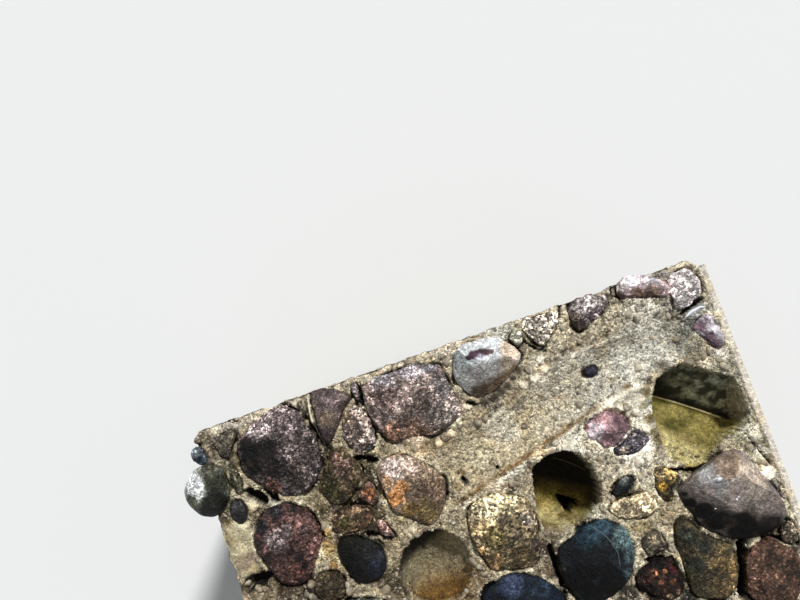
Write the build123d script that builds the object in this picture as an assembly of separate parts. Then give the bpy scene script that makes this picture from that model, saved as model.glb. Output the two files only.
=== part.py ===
from build123d import *
import math
import os
from dataclasses import dataclass

# Cobble-filled concrete armour block, lying on its plain cast base with the stony face up.
# Millimetres. The origin is the middle of the base, X runs along the block, Z is up.
# Places on the stony face are (x, y) pairs from its middle, before the face is fitted to the block.

ABOVE = 1
BELOW = -1

# Cast body
LENGTH = 1500.0
WIDTH = 1000.0
HEIGHT = 1000.0
CAST_ARRIS = 22.0
FACE_ARRIS = 8.0

# The face that the stones were set out on, which a longer or wider block spreads with it
SET_OUT_LENGTH = 1500.0
SET_OUT_WIDTH = 1000.0

# Grout fin squeezed out along the right arris of the stony face
FIN_WIDTH = 20.0
FIN_PROUD = 4.0
FIN_LIP = 16.0
FIN_DEPTH = 70.0

# Smooth trough worn along the face, with a low bead of mortar below it
TROUGH_START = (-35.0, 170.0)
TROUGH_END = (585.0, 318.0)
TROUGH_WIDTH = 152.0
TROUGH_DEPTH = 28.0
BEAD_START = (-85.0, 74.0)
BEAD_END = (462.0, 218.0)
BEAD_WIDTH = 46.0
BEAD_PROUD = 11.0

# Round hollow where a cobble has come out whole
BOWL_BREADTH = 198.0
BOWL_DEPTH = 92.0
BOWL_SIDES = 20
BOWL_SQUARE = 2.0

# Wedge-shaped hollow where a split boulder has come out: its floor falls to a valley line
WEDGE_RIM = (
    (486.0, 140.0), (518.0, 219.0), (602.0, 240.0), (649.0, 214.0), (738.0, 145.0),
    (737.0, 87.0), (707.0, 24.0), (575.0, -36.0), (512.0, -18.0), (481.0, 45.0),
)
VALLEY_START = (523.0, 172.0)
VALLEY_END = (702.0, 35.0)
VALLEY_DEPTH = 135.0
FLOOR_REACH = 171.0
WALL_REACH = 141.0
WEDGE_NARROWING = 0.93

# Deep hollow, with a three-cornered hole in its floor
PIT_DEPTH = 190.0
PIT_SQUARE = 3.4
PIT_HOLE = ((159.0, 12.0), (206.0, -14.0), (152.0, -26.0))
PIT_HOLE_DEPTH = 240.0

# How a stone rounds off: its rings, from the widest at the face, as shares of its height or depth
DOME_RINGS = (0.45, 0.8, 1.0)
BED_RINGS = (0.6, 1.0)
HOLLOW_RINGS = (0.3, 0.55, 0.75, 0.9, 1.0)
LAST_RING = 0.97
BED_SHARE = 0.42

# How far, and how quickly, the outline of a round cobble swells and shrinks from corner to corner
LUMPS = 0.09
LUMP_PITCH = 2.3


@dataclass(frozen=True)
class Stone:
    """One stone of the face, widest where it meets the mortar."""

    name: str
    corners: tuple
    proud: float
    lean: tuple = (0.0, 0.0)
    square: float = 2.4
    level: float = 0.0
    bed: float = 0.0
    bed_rings: tuple = BED_RINGS

    def middle(self):
        """Middle of the outline."""
        count = len(self.corners)
        return (
            sum(corner[0] for corner in self.corners) / count,
            sum(corner[1] for corner in self.corners) / count,
        )

    def depth(self):
        """Depth set in the concrete: a share of the outline's mean breadth, unless it is given."""
        if self.bed:
            return self.bed
        area = 0.0
        for (x0, y0), (x1, y1) in zip(self.corners, self.corners[1:] + self.corners[:1]):
            area += (x0 * y1 - x1 * y0) / 2
        return BED_SHARE * math.sqrt(abs(area))


def oval(name, x, y, length, breadth, turn, proud, sides=9, lumps=LUMPS, **more):
    """A round cobble given by its length, breadth and turn in degrees, a little lumpy."""
    corners = []
    for step in range(sides):
        angle = math.tau * step / sides
        swell = 1 + lumps * math.sin(LUMP_PITCH * step + turn)
        along = length / 2 * math.cos(angle) * swell
        across = breadth / 2 * math.sin(angle) * swell
        swing = math.radians(turn)
        corners.append((
            x + along * math.cos(swing) - across * math.sin(swing),
            y + along * math.sin(swing) + across * math.cos(swing),
        ))
    return Stone(name, tuple(corners), proud, **more)


# Stones along the far edge, from left to right
FAR_STONES = [
    Stone("grey_egg_cobble", (
        (-814, 345), (-795, 378), (-770, 404), (-730, 408), (-694, 385),
        (-690, 326), (-705, 290), (-738, 262), (-778, 266), (-808, 305)), 46, (-8, 12), 2.2),
    Stone("blue_chip_stone", (
        (-766, 432), (-762, 452), (-744, 464), (-730, 446), (-730, 418), (-744, 408)), 14),
    Stone("mottled_corner_stone", (
        (-690, 462), (-655, 474), (-618, 472), (-646, 432), (-668, 402), (-692, 415)), 10),
    Stone("mossy_inset_stone", (
        (-680, 378), (-660, 376), (-655, 340), (-658, 300), (-676, 296), (-682, 335)), 6),
    Stone("purple_black_boulder", (
        (-646, 350), (-636, 430), (-588, 465), (-508, 495), (-455, 480),
        (-420, 370), (-430, 285), (-505, 235), (-580, 270)), 52, (10, 22), 2.6),
    Stone("slate_wedge_stone", (
        (-400, 492), (-367, 496), (-332, 488), (-290, 456), (-296, 440),
        (-318, 428), (-338, 404), (-365, 368), (-393, 341), (-404, 360)), 26, (4, 14), 3.4),
    Stone("dark_wedge_pebble", ((-284, 482), (-261, 482), (-271, 428), (-282, 446)), 8),
    Stone("speckled_granite_stone", (
        (-330, 398), (-310, 417), (-288, 428), (-270, 410), (-258, 379),
        (-262, 326), (-275, 293), (-309, 295), (-334, 312), (-349, 345)), 24, (2, 8), 2.6),
    Stone("brown_block_stone", (
        (-251, 476), (-31, 472), (-14, 372), (-8, 306), (-48, 286),
        (-108, 272), (-170, 296), (-222, 288), (-240, 330), (-265, 400)), 34, (2, 16), 3.6),
    Stone("lilac_broken_stone", (
        (20, 464), (50, 481), (145, 476), (187, 430), (202, 398),
        (112, 340), (48, 326), (20, 350), (2, 390), (2, 425)), 38, (0, 24), 2.8),
    Stone("hollow_pebble", ((181, 452), (202, 479), (217, 463), (217, 440), (200, 428)), 12),
    Stone("gravelly_stone", (
        (226, 467), (232, 496), (281, 496), (327, 482), (327, 448), (289, 421), (266, 406),
        (247, 429)), 22, (0, 8), 3.0),
    Stone("red_rim_stone", (
        (360, 448), (366, 480), (384, 503), (440, 499), (484, 479), (470, 452),
        (424, 429), (376, 410)), 28, (2, 10), 2.6),
    Stone("flat_rim_slab", (
        (507, 466), (522, 502), (538, 517), (603, 498), (646, 458), (648, 432),
        (632, 425), (560, 450)), 22, (4, 8), 4.0),
    Stone("purple_corner_stone", (
        (658, 478), (706, 488), (735, 464), (738, 414), (722, 392), (666, 378),
        (643, 388), (650, 412)), 24, (0, 4), 3.4),
]

# Stones across the middle of the face
MIDDLE_STONES = [
    Stone("round_edge_pebble", (
        (-708, 276), (-690, 290), (-670, 280), (-662, 253), (-674, 222), (-693, 218),
        (-708, 241)), 16, (0, 4), 2.2),
    Stone("red_round_boulder", (
        (-673, 150), (-660, 195), (-600, 238), (-550, 238), (-505, 200), (-485, 115),
        (-520, 70), (-560, 12), (-620, 18), (-655, 75)), 46, (4, 16), 2.3),
    Stone("olive_cobble", (
        (-458, 226), (-450, 256), (-416, 290), (-400, 322), (-384, 330), (-355, 326),
        (-347, 295), (-332, 272), (-325, 249), (-347, 215), (-374, 196), (-405, 182),
        (-432, 188)), 18),
    Stone("rust_stone", (
        (-343, 205), (-318, 222), (-305, 200), (-308, 160), (-325, 148), (-352, 168),
        (-362, 186)), 14),
    Stone("brown_oval_stone", (
        (-447, 158), (-424, 170), (-386, 170), (-355, 153), (-330, 134), (-347, 108),
        (-378, 98), (-424, 102), (-455, 119)), 16),
    Stone("orange_boulder", (
        (-290, 232), (-266, 254), (-230, 261), (-192, 249), (-131, 184), (-115, 146),
        (-138, 85), (-192, 42), (-249, 88), (-280, 111), (-291, 196)), 30, (-6, 14), 2.4),
    Stone("black_round_cobble", (
        (-463, 37), (-456, 80), (-441, 98), (-396, 87), (-342, 44), (-338, 6),
        (-350, -25), (-374, -48), (-422, -42), (-447, -12)), 34, (4, 8), 2.2),
    Stone("pink_sliver_stone", (
        (-336, 106), (-323, 113), (-304, 79), (-296, 48), (-311, 48), (-330, 60)), 14),
    Stone("small_brown_stone", (
        (-545, 5), (-520, 25), (-495, 21), (-472, 14), (-472, -24), (-484, -55),
        (-530, -60), (-552, -30)), 18),
    Stone("yellow_mottled_boulder", (
        (-98, 20), (-78, 56), (-50, 71), (-14, 71), (34, 60), (78, 26), (87, -13),
        (78, -55), (58, -125), (40, -150), (2, -143), (-82, -120), (-101, -40)), 38, (2, 10), 2.6),
    Stone("trough_pebble", (
        (352, 310), (385, 314), (392, 287), (369, 280), (350, 291)), 10, level=-27, bed=30),
    Stone("pink_angular_stone", (
        (295, 150), (308, 173), (340, 184), (400, 170), (423, 120), (369, 88), (335, 85),
        (304, 125)), 26, (-8, 8), 3.0),
    Stone("plum_flake_stone", (
        (342, 78), (372, 82), (424, 112), (453, 80), (445, 65), (390, 48), (350, 60)), 14),
    Stone("small_dark_oval_stone", (
        (303, -31), (322, -15), (347, -2), (373, -9), (366, -28), (341, -47), (312, -44)), 8),
    Stone("mortared_grey_stone", (
        (274, -69), (299, -56), (338, -58), (379, -58), (404, -66), (412, -88),
        (398, -117), (354, -120), (306, -108)), 12),
    Stone("ochre_stone", (
        (420, -70), (433, -10), (458, -9), (500, -46), (466, -66), (455, -98),
        (440, -100), (426, -88)), 8),
    Stone("purple_edge_stone", (
        (673, 310), (687, 337), (710, 345), (740, 326), (740, 249), (725, 243),
        (706, 265)), 20, (8, 4), 3.2),
]

# Stones of the near side of the face that show
NEAR_STONES = [
    Stone("grey_triangle_boulder", (
        (470, -90), (482, -72), (580, -44), (612, -29), (650, -30), (684, -62),
        (712, -160), (725, -238), (695, -263), (620, -268), (560, -248), (500, -200)),
        68, (22, 34), 2.3),
    Stone("dark_edge_pebble", ((722, -138), (740, -146), (738, -192), (728, -186)), 6),
    Stone("grey_brown_wedge_stone", (
        (700, -272), (730, -250), (738, -300), (722, -318), (690, -302)), 10),
    Stone("green_patch_stone", (
        (328, -184), (347, -165), (379, -159), (395, -190), (397, -218), (368, -222),
        (338, -220)), 12),
    Stone("red_rubble_stone", (
        (292, -252), (331, -238), (372, -232), (401, -254), (406, -286), (398, -340),
        (352, -345), (302, -326), (284, -288)), 22, (0, 4), 3.0),
    Stone("green_black_stone", (
        (462, -147), (478, -178), (496, -212), (554, -262), (566, -290), (550, -342),
        (504, -396), (455, -381), (408, -358), (416, -290), (424, -190), (438, -155)),
        30, (0, 4), 2.6),
    Stone("brick_red_stone", (
        (582, -306), (612, -283), (672, -280), (682, -308), (718, -331), (711, -372),
        (680, -452), (630, -458), (552, -410), (572, -342)), 30, (0, 6), 2.8),
    Stone("blue_black_boulder", (
        (103, -126), (160, -105), (226, -86), (258, -89), (296, -120), (309, -162),
        (306, -206), (261, -261), (205, -293), (125, -285), (102, -225)), 44, (14, 8), 2.6),
    Stone("slate_blue_boulder", (
        (-130, -181), (-108, -160), (-51, -143), (-24, -147), (8, -158), (44, -187),
        (80, -228), (84, -285), (30, -316), (-60, -310), (-120, -265)), 40, (0, 6), 2.4),
]

# Stones of the part of the face that lies out of sight, finished with like cobbles
UNSEEN_STONES = [
    oval("near_cobble_01", -655, -85, 170, 130, 10, 34),
    oval("near_cobble_02", -440, -125, 166, 104, -12, 24),
    oval("near_cobble_03", -590, -250, 190, 130, 18, 40),
    oval("near_cobble_04", -385, -265, 176, 132, 0, 30),
    oval("near_cobble_05", -210, -252, 112, 102, 35, 18),
    oval("near_cobble_06", -680, -400, 106, 146, 0, 26),
    oval("near_cobble_07", -515, -415, 176, 124, -8, 36),
    oval("near_cobble_08", -320, -415, 160, 116, 12, 26),
    oval("near_cobble_09", -140, -405, 140, 112, 0, 30),
    oval("near_cobble_10", 20, -410, 130, 124, 0, 22),
    oval("near_cobble_11", 180, -385, 130, 118, 20, 34),
    oval("near_cobble_12", 325, -420, 122, 100, 0, 20),
    oval("near_cobble_13", 470, -450, 104, 66, 0, 14),
]

# The stones that have come out and left the deep hollow and the round one
PIT_STONE = Stone("pit", (
    (104, 108), (207, 121), (249, 98), (281, 45), (279, -18), (249, -65), (165, -88),
    (96, -72), (92, 14)), 40, square=PIT_SQUARE, bed=PIT_DEPTH, bed_rings=HOLLOW_RINGS)
BOWL_STONE = oval(
    "bowl", -220, -64, BOWL_BREADTH, BOWL_BREADTH, 0, 40, BOWL_SIDES, 0,
    square=BOWL_SQUARE, bed=BOWL_DEPTH, bed_rings=HOLLOW_RINGS)

# Joints washed out of the mortar: two ends, breadth and depth
WASHED_JOINTS = {
    "under the smooth band": ((-738, 52), (-674, 60), 30, 45),
    "below the black boulder": ((-650, 302), (-606, 254), 22, 36),
    "below the granite": ((-332, 284), (-277, 252), 15, 36),
    "below the corner stone": ((662, 364), (728, 376), 11, 34),
    "between the two blue boulders": ((93, -112), (92, -244), 13, 62),
    "beside the brick-red stone": ((574, -296), (534, -402), 12, 52),
}

JOINT_SHOULDER = 0.3
JOINT_NARROWING = 0.85

# Drip holes in the trough: middle, radius, and depth below the face
DRIP_HOLES = (((-69.0, 130.0), 15.0, 52.0), ((33.0, 132.0), 9.0, 44.0))


def on_face(point):
    """Fit a set-out place to the block's own length and width."""
    return (point[0] * LENGTH / SET_OUT_LENGTH, point[1] * WIDTH / SET_OUT_WIDTH)


def ring(stone, scale, height, slide):
    """Corners of the stone's outline, drawn in by a scale, at a height over the face."""
    middle_x, middle_y = stone.middle()
    corners = []
    for x, y in stone.corners:
        fitted = on_face((
            middle_x + (x - middle_x) * scale + stone.lean[0] * slide,
            middle_y + (y - middle_y) * scale + stone.lean[1] * slide,
        ))
        corners.append(Vector(fitted[0], fitted[1], HEIGHT + stone.level + height))
    return corners


def draw_in(share, square):
    """How far a ring draws in at a share of the height, on a rounded-square curve."""
    return (1 - (share * LAST_RING) ** square) ** (1 / square)


def faceted(rings):
    """A closed solid of flat facets between rings of corners, from the lowest ring to the top."""
    faces = [Face(Wire.make_polygon(rings[0])), Face(Wire.make_polygon(rings[-1]))]
    for lower, upper in zip(rings, rings[1:]):
        for here in range(len(lower)):
            there = (here + 1) % len(lower)
            facet = [lower[here], lower[there], upper[there], upper[here]]
            faces.append(Face(Wire.make_polygon(facet)))
    return Solid(Shell(faces))


def stone_solid(stone):
    """A boulder that draws in, ring by ring, towards its top and its underside."""
    rings = []
    for share in reversed(stone.bed_rings):
        rings.append(ring(stone, draw_in(share, stone.square), -stone.depth() * share, 0))
    rings.append(ring(stone, 1, 0, 0))
    for share in DOME_RINGS:
        rings.append(ring(stone, draw_in(share, stone.square), stone.proud * share, share))
    return faceted(rings)


def tapered_bar(start, end, width, side, reach):
    """A round bar along the face that reaches past it, above or below, and tapers off at its ends."""
    radius = ((width / 2) ** 2 + reach ** 2) / (2 * reach)
    height = HEIGHT + side * (radius - reach)
    first = Vector(*on_face(start), height)
    last = Vector(*on_face(end), height)
    bar = extrude(Plane(first, z_dir=last - first) * Circle(radius), amount=(last - first).length)
    for place, outwards in ((first, first - last), (last, last - first)):
        tip = Cone(
            radius, radius - reach, width / 2, align=(Align.CENTER, Align.CENTER, Align.MIN)
        )
        bar += Plane(place, z_dir=outwards) * tip
    return bar


def drop(outline, depth, narrowing=1.0):
    """An outline of the face taken straight down into the block, narrower at the bottom."""
    top = [Vector(*on_face(corner), HEIGHT) for corner in outline]
    middle = sum(top, Vector()) / len(top)
    bottom = [
        middle + (corner - middle) * narrowing - Vector(0, 0, depth) for corner in top
    ]
    return faceted([bottom, top])


def cast_body():
    """The plain cast block with worn arrises and its grout fin."""
    body = Box(LENGTH, WIDTH, HEIGHT, align=(Align.CENTER, Align.CENTER, Align.MIN))
    cast_edges = body.edges().filter_by(Axis.Z) + body.edges().group_by(Axis.Z)[0]
    body = chamfer(cast_edges, CAST_ARRIS)
    body = chamfer(body.edges().group_by(Axis.Z)[-1], FACE_ARRIS)
    side = LENGTH / 2
    fin_profile = Plane.XZ * Polygon(
        (side - FACE_ARRIS, HEIGHT - FIN_DEPTH),
        (side, HEIGHT - FIN_DEPTH),
        (side + FIN_WIDTH, HEIGHT - FIN_LIP),
        (side + FIN_WIDTH, HEIGHT + FIN_PROUD),
        (side - FACE_ARRIS, HEIGHT + FIN_PROUD),
        align=None,
    )
    return body + extrude(fin_profile, amount=WIDTH / 2 - CAST_ARRIS, both=True)


def wedge_hollow():
    """The split boulder's hollow: its rim drawn down, under a floor and a wall that meet."""
    shaft = drop(WEDGE_RIM, VALLEY_DEPTH + 1, WEDGE_NARROWING)
    start = Vector(*on_face(VALLEY_START), HEIGHT)
    valley = Vector(*on_face(VALLEY_END), HEIGHT) - start
    across = Plane(start - valley, x_dir=Vector(-valley.Y, valley.X, 0), z_dir=valley)
    profile = across * Polygon(
        (-FLOOR_REACH, 0), (0, -VALLEY_DEPTH), (WALL_REACH, 0), align=None
    )
    return shaft & extrude(profile, amount=3 * valley.length)


def washed_joint(start, end, breadth, depth):
    """A narrow pocket between two stones, drawn in with depth."""
    first = Vector(*start)
    last = Vector(*end)
    run = last - first
    side = Vector(-run.Y, run.X).normalized() * (breadth / 2)
    near = first + run * JOINT_SHOULDER
    far = last - run * JOINT_SHOULDER
    outline = [first, near + side, far + side, last, far - side, near - side]
    return drop([(corner.X, corner.Y) for corner in outline], depth, JOINT_NARROWING)


def pit_hollow():
    """The deep hollow with the three-cornered hole in its floor."""
    return stone_solid(PIT_STONE) + drop(PIT_HOLE, PIT_HOLE_DEPTH)


def drip_hole(place, radius, depth):
    """A small round hole that drips have worn in the trough."""
    x, y = on_face(place)
    hole = Cylinder(radius, depth, align=(Align.CENTER, Align.CENTER, Align.MAX))
    return Pos(x, y, HEIGHT) * hole


def worn_body():
    """The cast body with its bead, trough, hollows, washed-out joints and drip holes."""
    body = cast_body() + tapered_bar(BEAD_START, BEAD_END, BEAD_WIDTH, BELOW, BEAD_PROUD)
    body -= tapered_bar(TROUGH_START, TROUGH_END, TROUGH_WIDTH, ABOVE, TROUGH_DEPTH)
    body -= wedge_hollow()
    body -= pit_hollow()
    body -= stone_solid(BOWL_STONE)
    for start, end, breadth, depth in WASHED_JOINTS.values():
        body -= washed_joint(start, end, breadth, depth)
    for place, radius, depth in DRIP_HOLES:
        body -= drip_hole(place, radius, depth)
    return body


os.makedirs("parts", exist_ok=True)
concrete = worn_body()
for stone in FAR_STONES + MIDDLE_STONES + NEAR_STONES + UNSEEN_STONES:
    boulder = stone_solid(stone)
    concrete -= boulder
    export_step(boulder, f"parts/{stone.name}.step")
export_step(concrete, "parts/concrete_block.step")
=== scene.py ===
import bisect
import logging
import math
import random
from dataclasses import dataclass, field
from enum import Enum
from functools import cached_property

import bmesh
import bpy
from mathutils import Matrix, Vector, noise
from mathutils.bvhtree import BVHTree


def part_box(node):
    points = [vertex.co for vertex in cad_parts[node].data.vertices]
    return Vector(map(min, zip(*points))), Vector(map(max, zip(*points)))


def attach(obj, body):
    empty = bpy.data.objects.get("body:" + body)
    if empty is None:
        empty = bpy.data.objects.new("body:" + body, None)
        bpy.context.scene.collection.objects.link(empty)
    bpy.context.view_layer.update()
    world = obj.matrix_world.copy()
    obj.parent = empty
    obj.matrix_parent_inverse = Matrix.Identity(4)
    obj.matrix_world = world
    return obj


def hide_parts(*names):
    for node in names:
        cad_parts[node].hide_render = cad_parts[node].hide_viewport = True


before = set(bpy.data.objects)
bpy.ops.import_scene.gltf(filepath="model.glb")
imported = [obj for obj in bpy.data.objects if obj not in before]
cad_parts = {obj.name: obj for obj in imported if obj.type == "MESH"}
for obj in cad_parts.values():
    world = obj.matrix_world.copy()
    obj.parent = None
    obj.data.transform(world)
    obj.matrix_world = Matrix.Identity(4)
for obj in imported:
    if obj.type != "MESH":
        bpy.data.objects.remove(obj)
log = logging.getLogger("armour_block")

MM = 0.001

# The block's own sizes, in metres. The stony face is its top, and X runs along it.
LENGTH = 1.5
WIDTH = 1.0
FACE = 1.0
END = LENGTH / 2
SIDE = WIDTH / 2

# Where rays towards the face start.
OVERHEAD = 1.2


def paint(red: float, green: float, blue: float) -> Vector:
    """Read a paint colour as the light it gives back.

    Args:
        red: Red of the colour as seen, 0 to 1.
        green: Green of the colour as seen.
        blue: Blue of the colour as seen.

    Returns:
        The three shares of light, linear.
    """
    def linear(value: float) -> float:
        """One channel, linear."""
        return value / 12.92 if value <= 0.04045 else ((value + 0.055) / 1.055) ** 2.4
    return Vector((linear(red), linear(green), linear(blue)))


def held(value: float, low: float, high: float) -> float:
    """Keep a value between two limits."""
    return min(max(value, low), high)


def ease(low: float, high: float, value: float) -> float:
    """Rise smoothly from 0 at low to 1 at high."""
    share = held((value - low) / (high - low), 0.0, 1.0)
    return share * share * (3 - 2 * share)


def swell(value: float, middle: float, spread: float) -> float:
    """Rise smoothly to 1 at the middle, and fall away on both sides."""
    return math.exp(-((value - middle) / spread) ** 2)


def beside(x: float, y: float, start: tuple[float, float],
           end: tuple[float, float]) -> tuple[float, float]:
    """Measure a place against a straight line.

    Args:
        x: Place along the face.
        y: Place across the face.
        start: The line's first end, in millimetres.
        end: Its other end.

    Returns:
        The share of the line's run that is nearest, and how far off the place lies, in metres.
    """
    arm, run = Vector((x, y)) - Vector(start) * MM, Vector(end) * MM - Vector(start) * MM
    share = held(arm.dot(run) / run.length_squared, 0.0, 1.0)
    return share, (arm - run * share).length


def by_line(x: float, y: float, start: tuple[float, float],
            end: tuple[float, float]) -> tuple[float, float]:
    """How far a place lies along a line given in millimetres, and to its left, in metres."""
    ahead = (Vector(end) * MM - Vector(start) * MM).normalized()
    arm = Vector((x, y)) - Vector(start) * MM
    return arm.dot(ahead), ahead.cross(arm)


def below(ground: BVHTree, x: float, y: float) -> tuple[Vector | None, Vector | None]:
    """Find the surface under a place, and the way it faces."""
    return ground.ray_cast(Vector((x, y, OVERHEAD)), Vector((0, 0, -1)))[:2]


def wander(x: float, y: float, z: float, pitch: float, seed: float = 0.0) -> float:
    """A smooth random value at a place.

    Args:
        x: Place along the block.
        y: Place across it.
        z: Height.
        pitch: Size of the lumps, in metres.
        seed: Which of many unlike fields is read.

    Returns:
        A value from about -1 to 1.
    """
    return noise.noise(Vector((x / pitch + seed, y / pitch - seed, z / pitch + 2 * seed)))


class Outline:
    """A closed outline on the stony face, with its corners worn round."""

    def __init__(self, corners: list[Vector], rounds: int) -> None:
        """Wear the corners and note how far the outline reaches on each bearing.

        Args:
            corners: The corners in order, in metres.
            rounds: How often the corners are cut back.
        """
        self.middle = sum(corners, Vector((0.0, 0.0))) / len(corners)
        for _ in range(rounds):
            corners = self._worn(corners)
        reached = []
        steps = 4
        for here, there in zip(corners, corners[1:] + corners[:1]):
            for step in range(steps):
                arm = here.lerp(there, step / steps) - self.middle
                reached.append((math.atan2(arm.y, arm.x), arm.length))
        reached.sort()
        first, last = reached[0], reached[-1]
        reached.insert(0, (last[0] - math.tau, last[1]))
        reached.append((first[0] + math.tau, first[1]))
        self._bearings = [bearing for bearing, _ in reached]
        self._reaches = [reach for _, reach in reached]
        self.breadth = sum(self._reaches) / len(self._reaches)

    @staticmethod
    def _worn(corners: list[Vector]) -> list[Vector]:
        """Cut every corner back to a fifth of its sides."""
        worn = []
        for here, there in zip(corners, corners[1:] + corners[:1]):
            worn += [here.lerp(there, 0.2), here.lerp(there, 0.8)]
        return worn

    def reach(self, bearing: float) -> float:
        """How far the outline lies from its middle on a bearing, in radians."""
        place = held(bisect.bisect(self._bearings, bearing), 1, len(self._bearings) - 1)
        low, high = self._bearings[place - 1], self._bearings[place]
        share = (bearing - low) / (high - low) if high > low else 0.0
        return self._reaches[place - 1] * (1 - share) + self._reaches[place] * share

    def share(self, x: float, y: float) -> float:
        """How far out a place lies: 0 in the middle and 1 on the outline."""
        arm_x, arm_y = x - self.middle.x, y - self.middle.y
        return math.hypot(arm_x, arm_y) / self.reach(math.atan2(arm_y, arm_x))


def outline_of(pairs: tuple[tuple[float, float], ...], rounds: int = 1) -> Outline:
    """Make an outline from corners in millimetres."""
    return Outline([Vector((x * MM, y * MM)) for x, y in pairs], rounds)


# A patch as shares of its radius: where it starts to fade and is gone, how ragged it is and how far
# its last flecks reach. Its ragged lumps are in metres.
PATCH_FADE = (0.55, 1.1)
PATCH_RAGGED = 0.3
PATCH_REACH = 1.6
PATCH_LUMPS = 0.03


@dataclass(frozen=True)
class Patch:
    """A stain, worn spot, painted highlight or painted shade with a ragged edge."""

    x: float
    y: float
    radius: float
    colour: tuple[float, float, float]
    strength: float = 1.0

    @cached_property
    def light(self) -> Vector:
        """The colour as light."""
        return paint(*self.colour)

    def mark(self, tone: Vector, place: Vector) -> Vector:
        """Mix the patch into the tone found at a place.

        Args:
            tone: The tone so far.
            place: Where, in metres.

        Returns:
            The tone with the patch over it.
        """
        out = math.hypot(place.x - self.x * MM, place.y - self.y * MM) / (self.radius * MM)
        if out > PATCH_REACH:
            return tone
        out += PATCH_RAGGED * wander(place.x, place.y, place.z, PATCH_LUMPS, self.x)
        return tone.lerp(self.light, self.strength * (1 - ease(*PATCH_FADE, out)))


def stains_and_shading(*rows: tuple[float, ...]) -> tuple[Patch, ...]:
    """Make patches from rows of numbers.

    Args:
        rows: X, Y and radius in millimetres, then red, green, blue and, where it isn't full, the
            strength, in hundredths.

    Returns:
        The patches, in order.
    """
    return tuple(
        Patch(x, y, radius, (red / 100, green / 100, blue / 100), *(one / 100 for one in strength))
        for x, y, radius, red, green, blue, *strength in rows)


# The way to the sun, level with the face, how much painted light a broken face turned to it gets
# and painted shade one turned away gets, and the way that the sides given painted shade look.
TO_SUN = Vector((0.62, 0.78, 0.0))
SUN_FACING_LIGHT = 0.42
AWAY_FROM_SUN = Vector((-0.55, -0.78, -0.3)).normalized()


@dataclass(frozen=True)
class Break:
    """A broken or ground face of a stone: bearing and rise in degrees, how much is kept, and its
    factor of painted light.
    """

    bearing: float
    rise: float
    keep: float
    facet_light: float = 1.0

    @cached_property
    def shade(self) -> float:
        """How light the face is painted: painted light where it turns to the sun, painted shade
        where it turns away.
        """
        return self.facet_light * (1 + SUN_FACING_LIGHT * self.facing.dot(TO_SUN))

    def cut(self, point: Vector) -> Vector:
        """Bring a point of the unit stone back to the broken face."""
        over = point.dot(self.facing) - max(self.keep, self.facing.xy.length)
        return point - self.facing * over if over > 0 else point

    @cached_property
    def facing(self) -> Vector:
        """The way the broken face looks."""
        swing, lift = math.radians(self.bearing), math.radians(self.rise)
        return Vector((
            math.cos(lift) * math.cos(swing), math.cos(lift) * math.sin(swing), math.sin(lift)))


class Surface(Enum):
    """How a stone's skin is worn."""

    WASHED = (0.0032, 0.0008)
    PITTED = (0.0058, 0.0028)
    BROKEN = (0.0080, 0.0036)
    RUBBLE = (0.0150, 0.0050)

    def lift(self, place: Vector, seed: float) -> float:
        """How far the skin stands out at a place: broad lumps and fine grit."""
        lumps, grit = self.value
        broad = wander(place.x, place.y, place.z, 0.055, seed)
        middling = wander(place.x, place.y, place.z, 0.021, seed + 3)
        fine = wander(place.x, place.y, place.z, 0.0085, seed + 7)
        return lumps * (broad + 0.6 * middling) + grit * fine


@dataclass(frozen=True)
class StoneLook:
    """How one set stone looks.

    The shoulder is the power of its rounding: 2 is a ball and more is boxier. Rounds and chips
    count the rounds of wear on its outline and its small random faces. A fine stone has a finer
    mesh. Pit shading is the painted shade in its pits and painted light on its lumps, painted shade
    is what is left of the tone on its side away from the light, and grit is the share of its
    finish's speckle. Its patches are stains and veins, and on some stones also painted highlights
    and painted shade.
    """

    slot: str
    tone: tuple[float, float, float]
    shoulder: float = 2.4
    surface: Surface = Surface.PITTED
    rounds: int = 2
    chips: int = 7
    breaks: tuple[Break, ...] = ()
    patches: tuple[Patch, ...] = ()
    fine: bool = False
    pit_shading: float = 72.0
    painted_shade: float = 0.42
    grit: float = 1.0


# Bearings on the face in degrees, named for the way they point in the photograph.
DOWN_FACE = -109.0
UP_FACE = 71.0
LEFT_FACE = 161.0

# Each look's patches paint stains, veins and marks; on the boulders they also paint highlights on
# sides turned to the light and shade on sides turned away.
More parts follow.
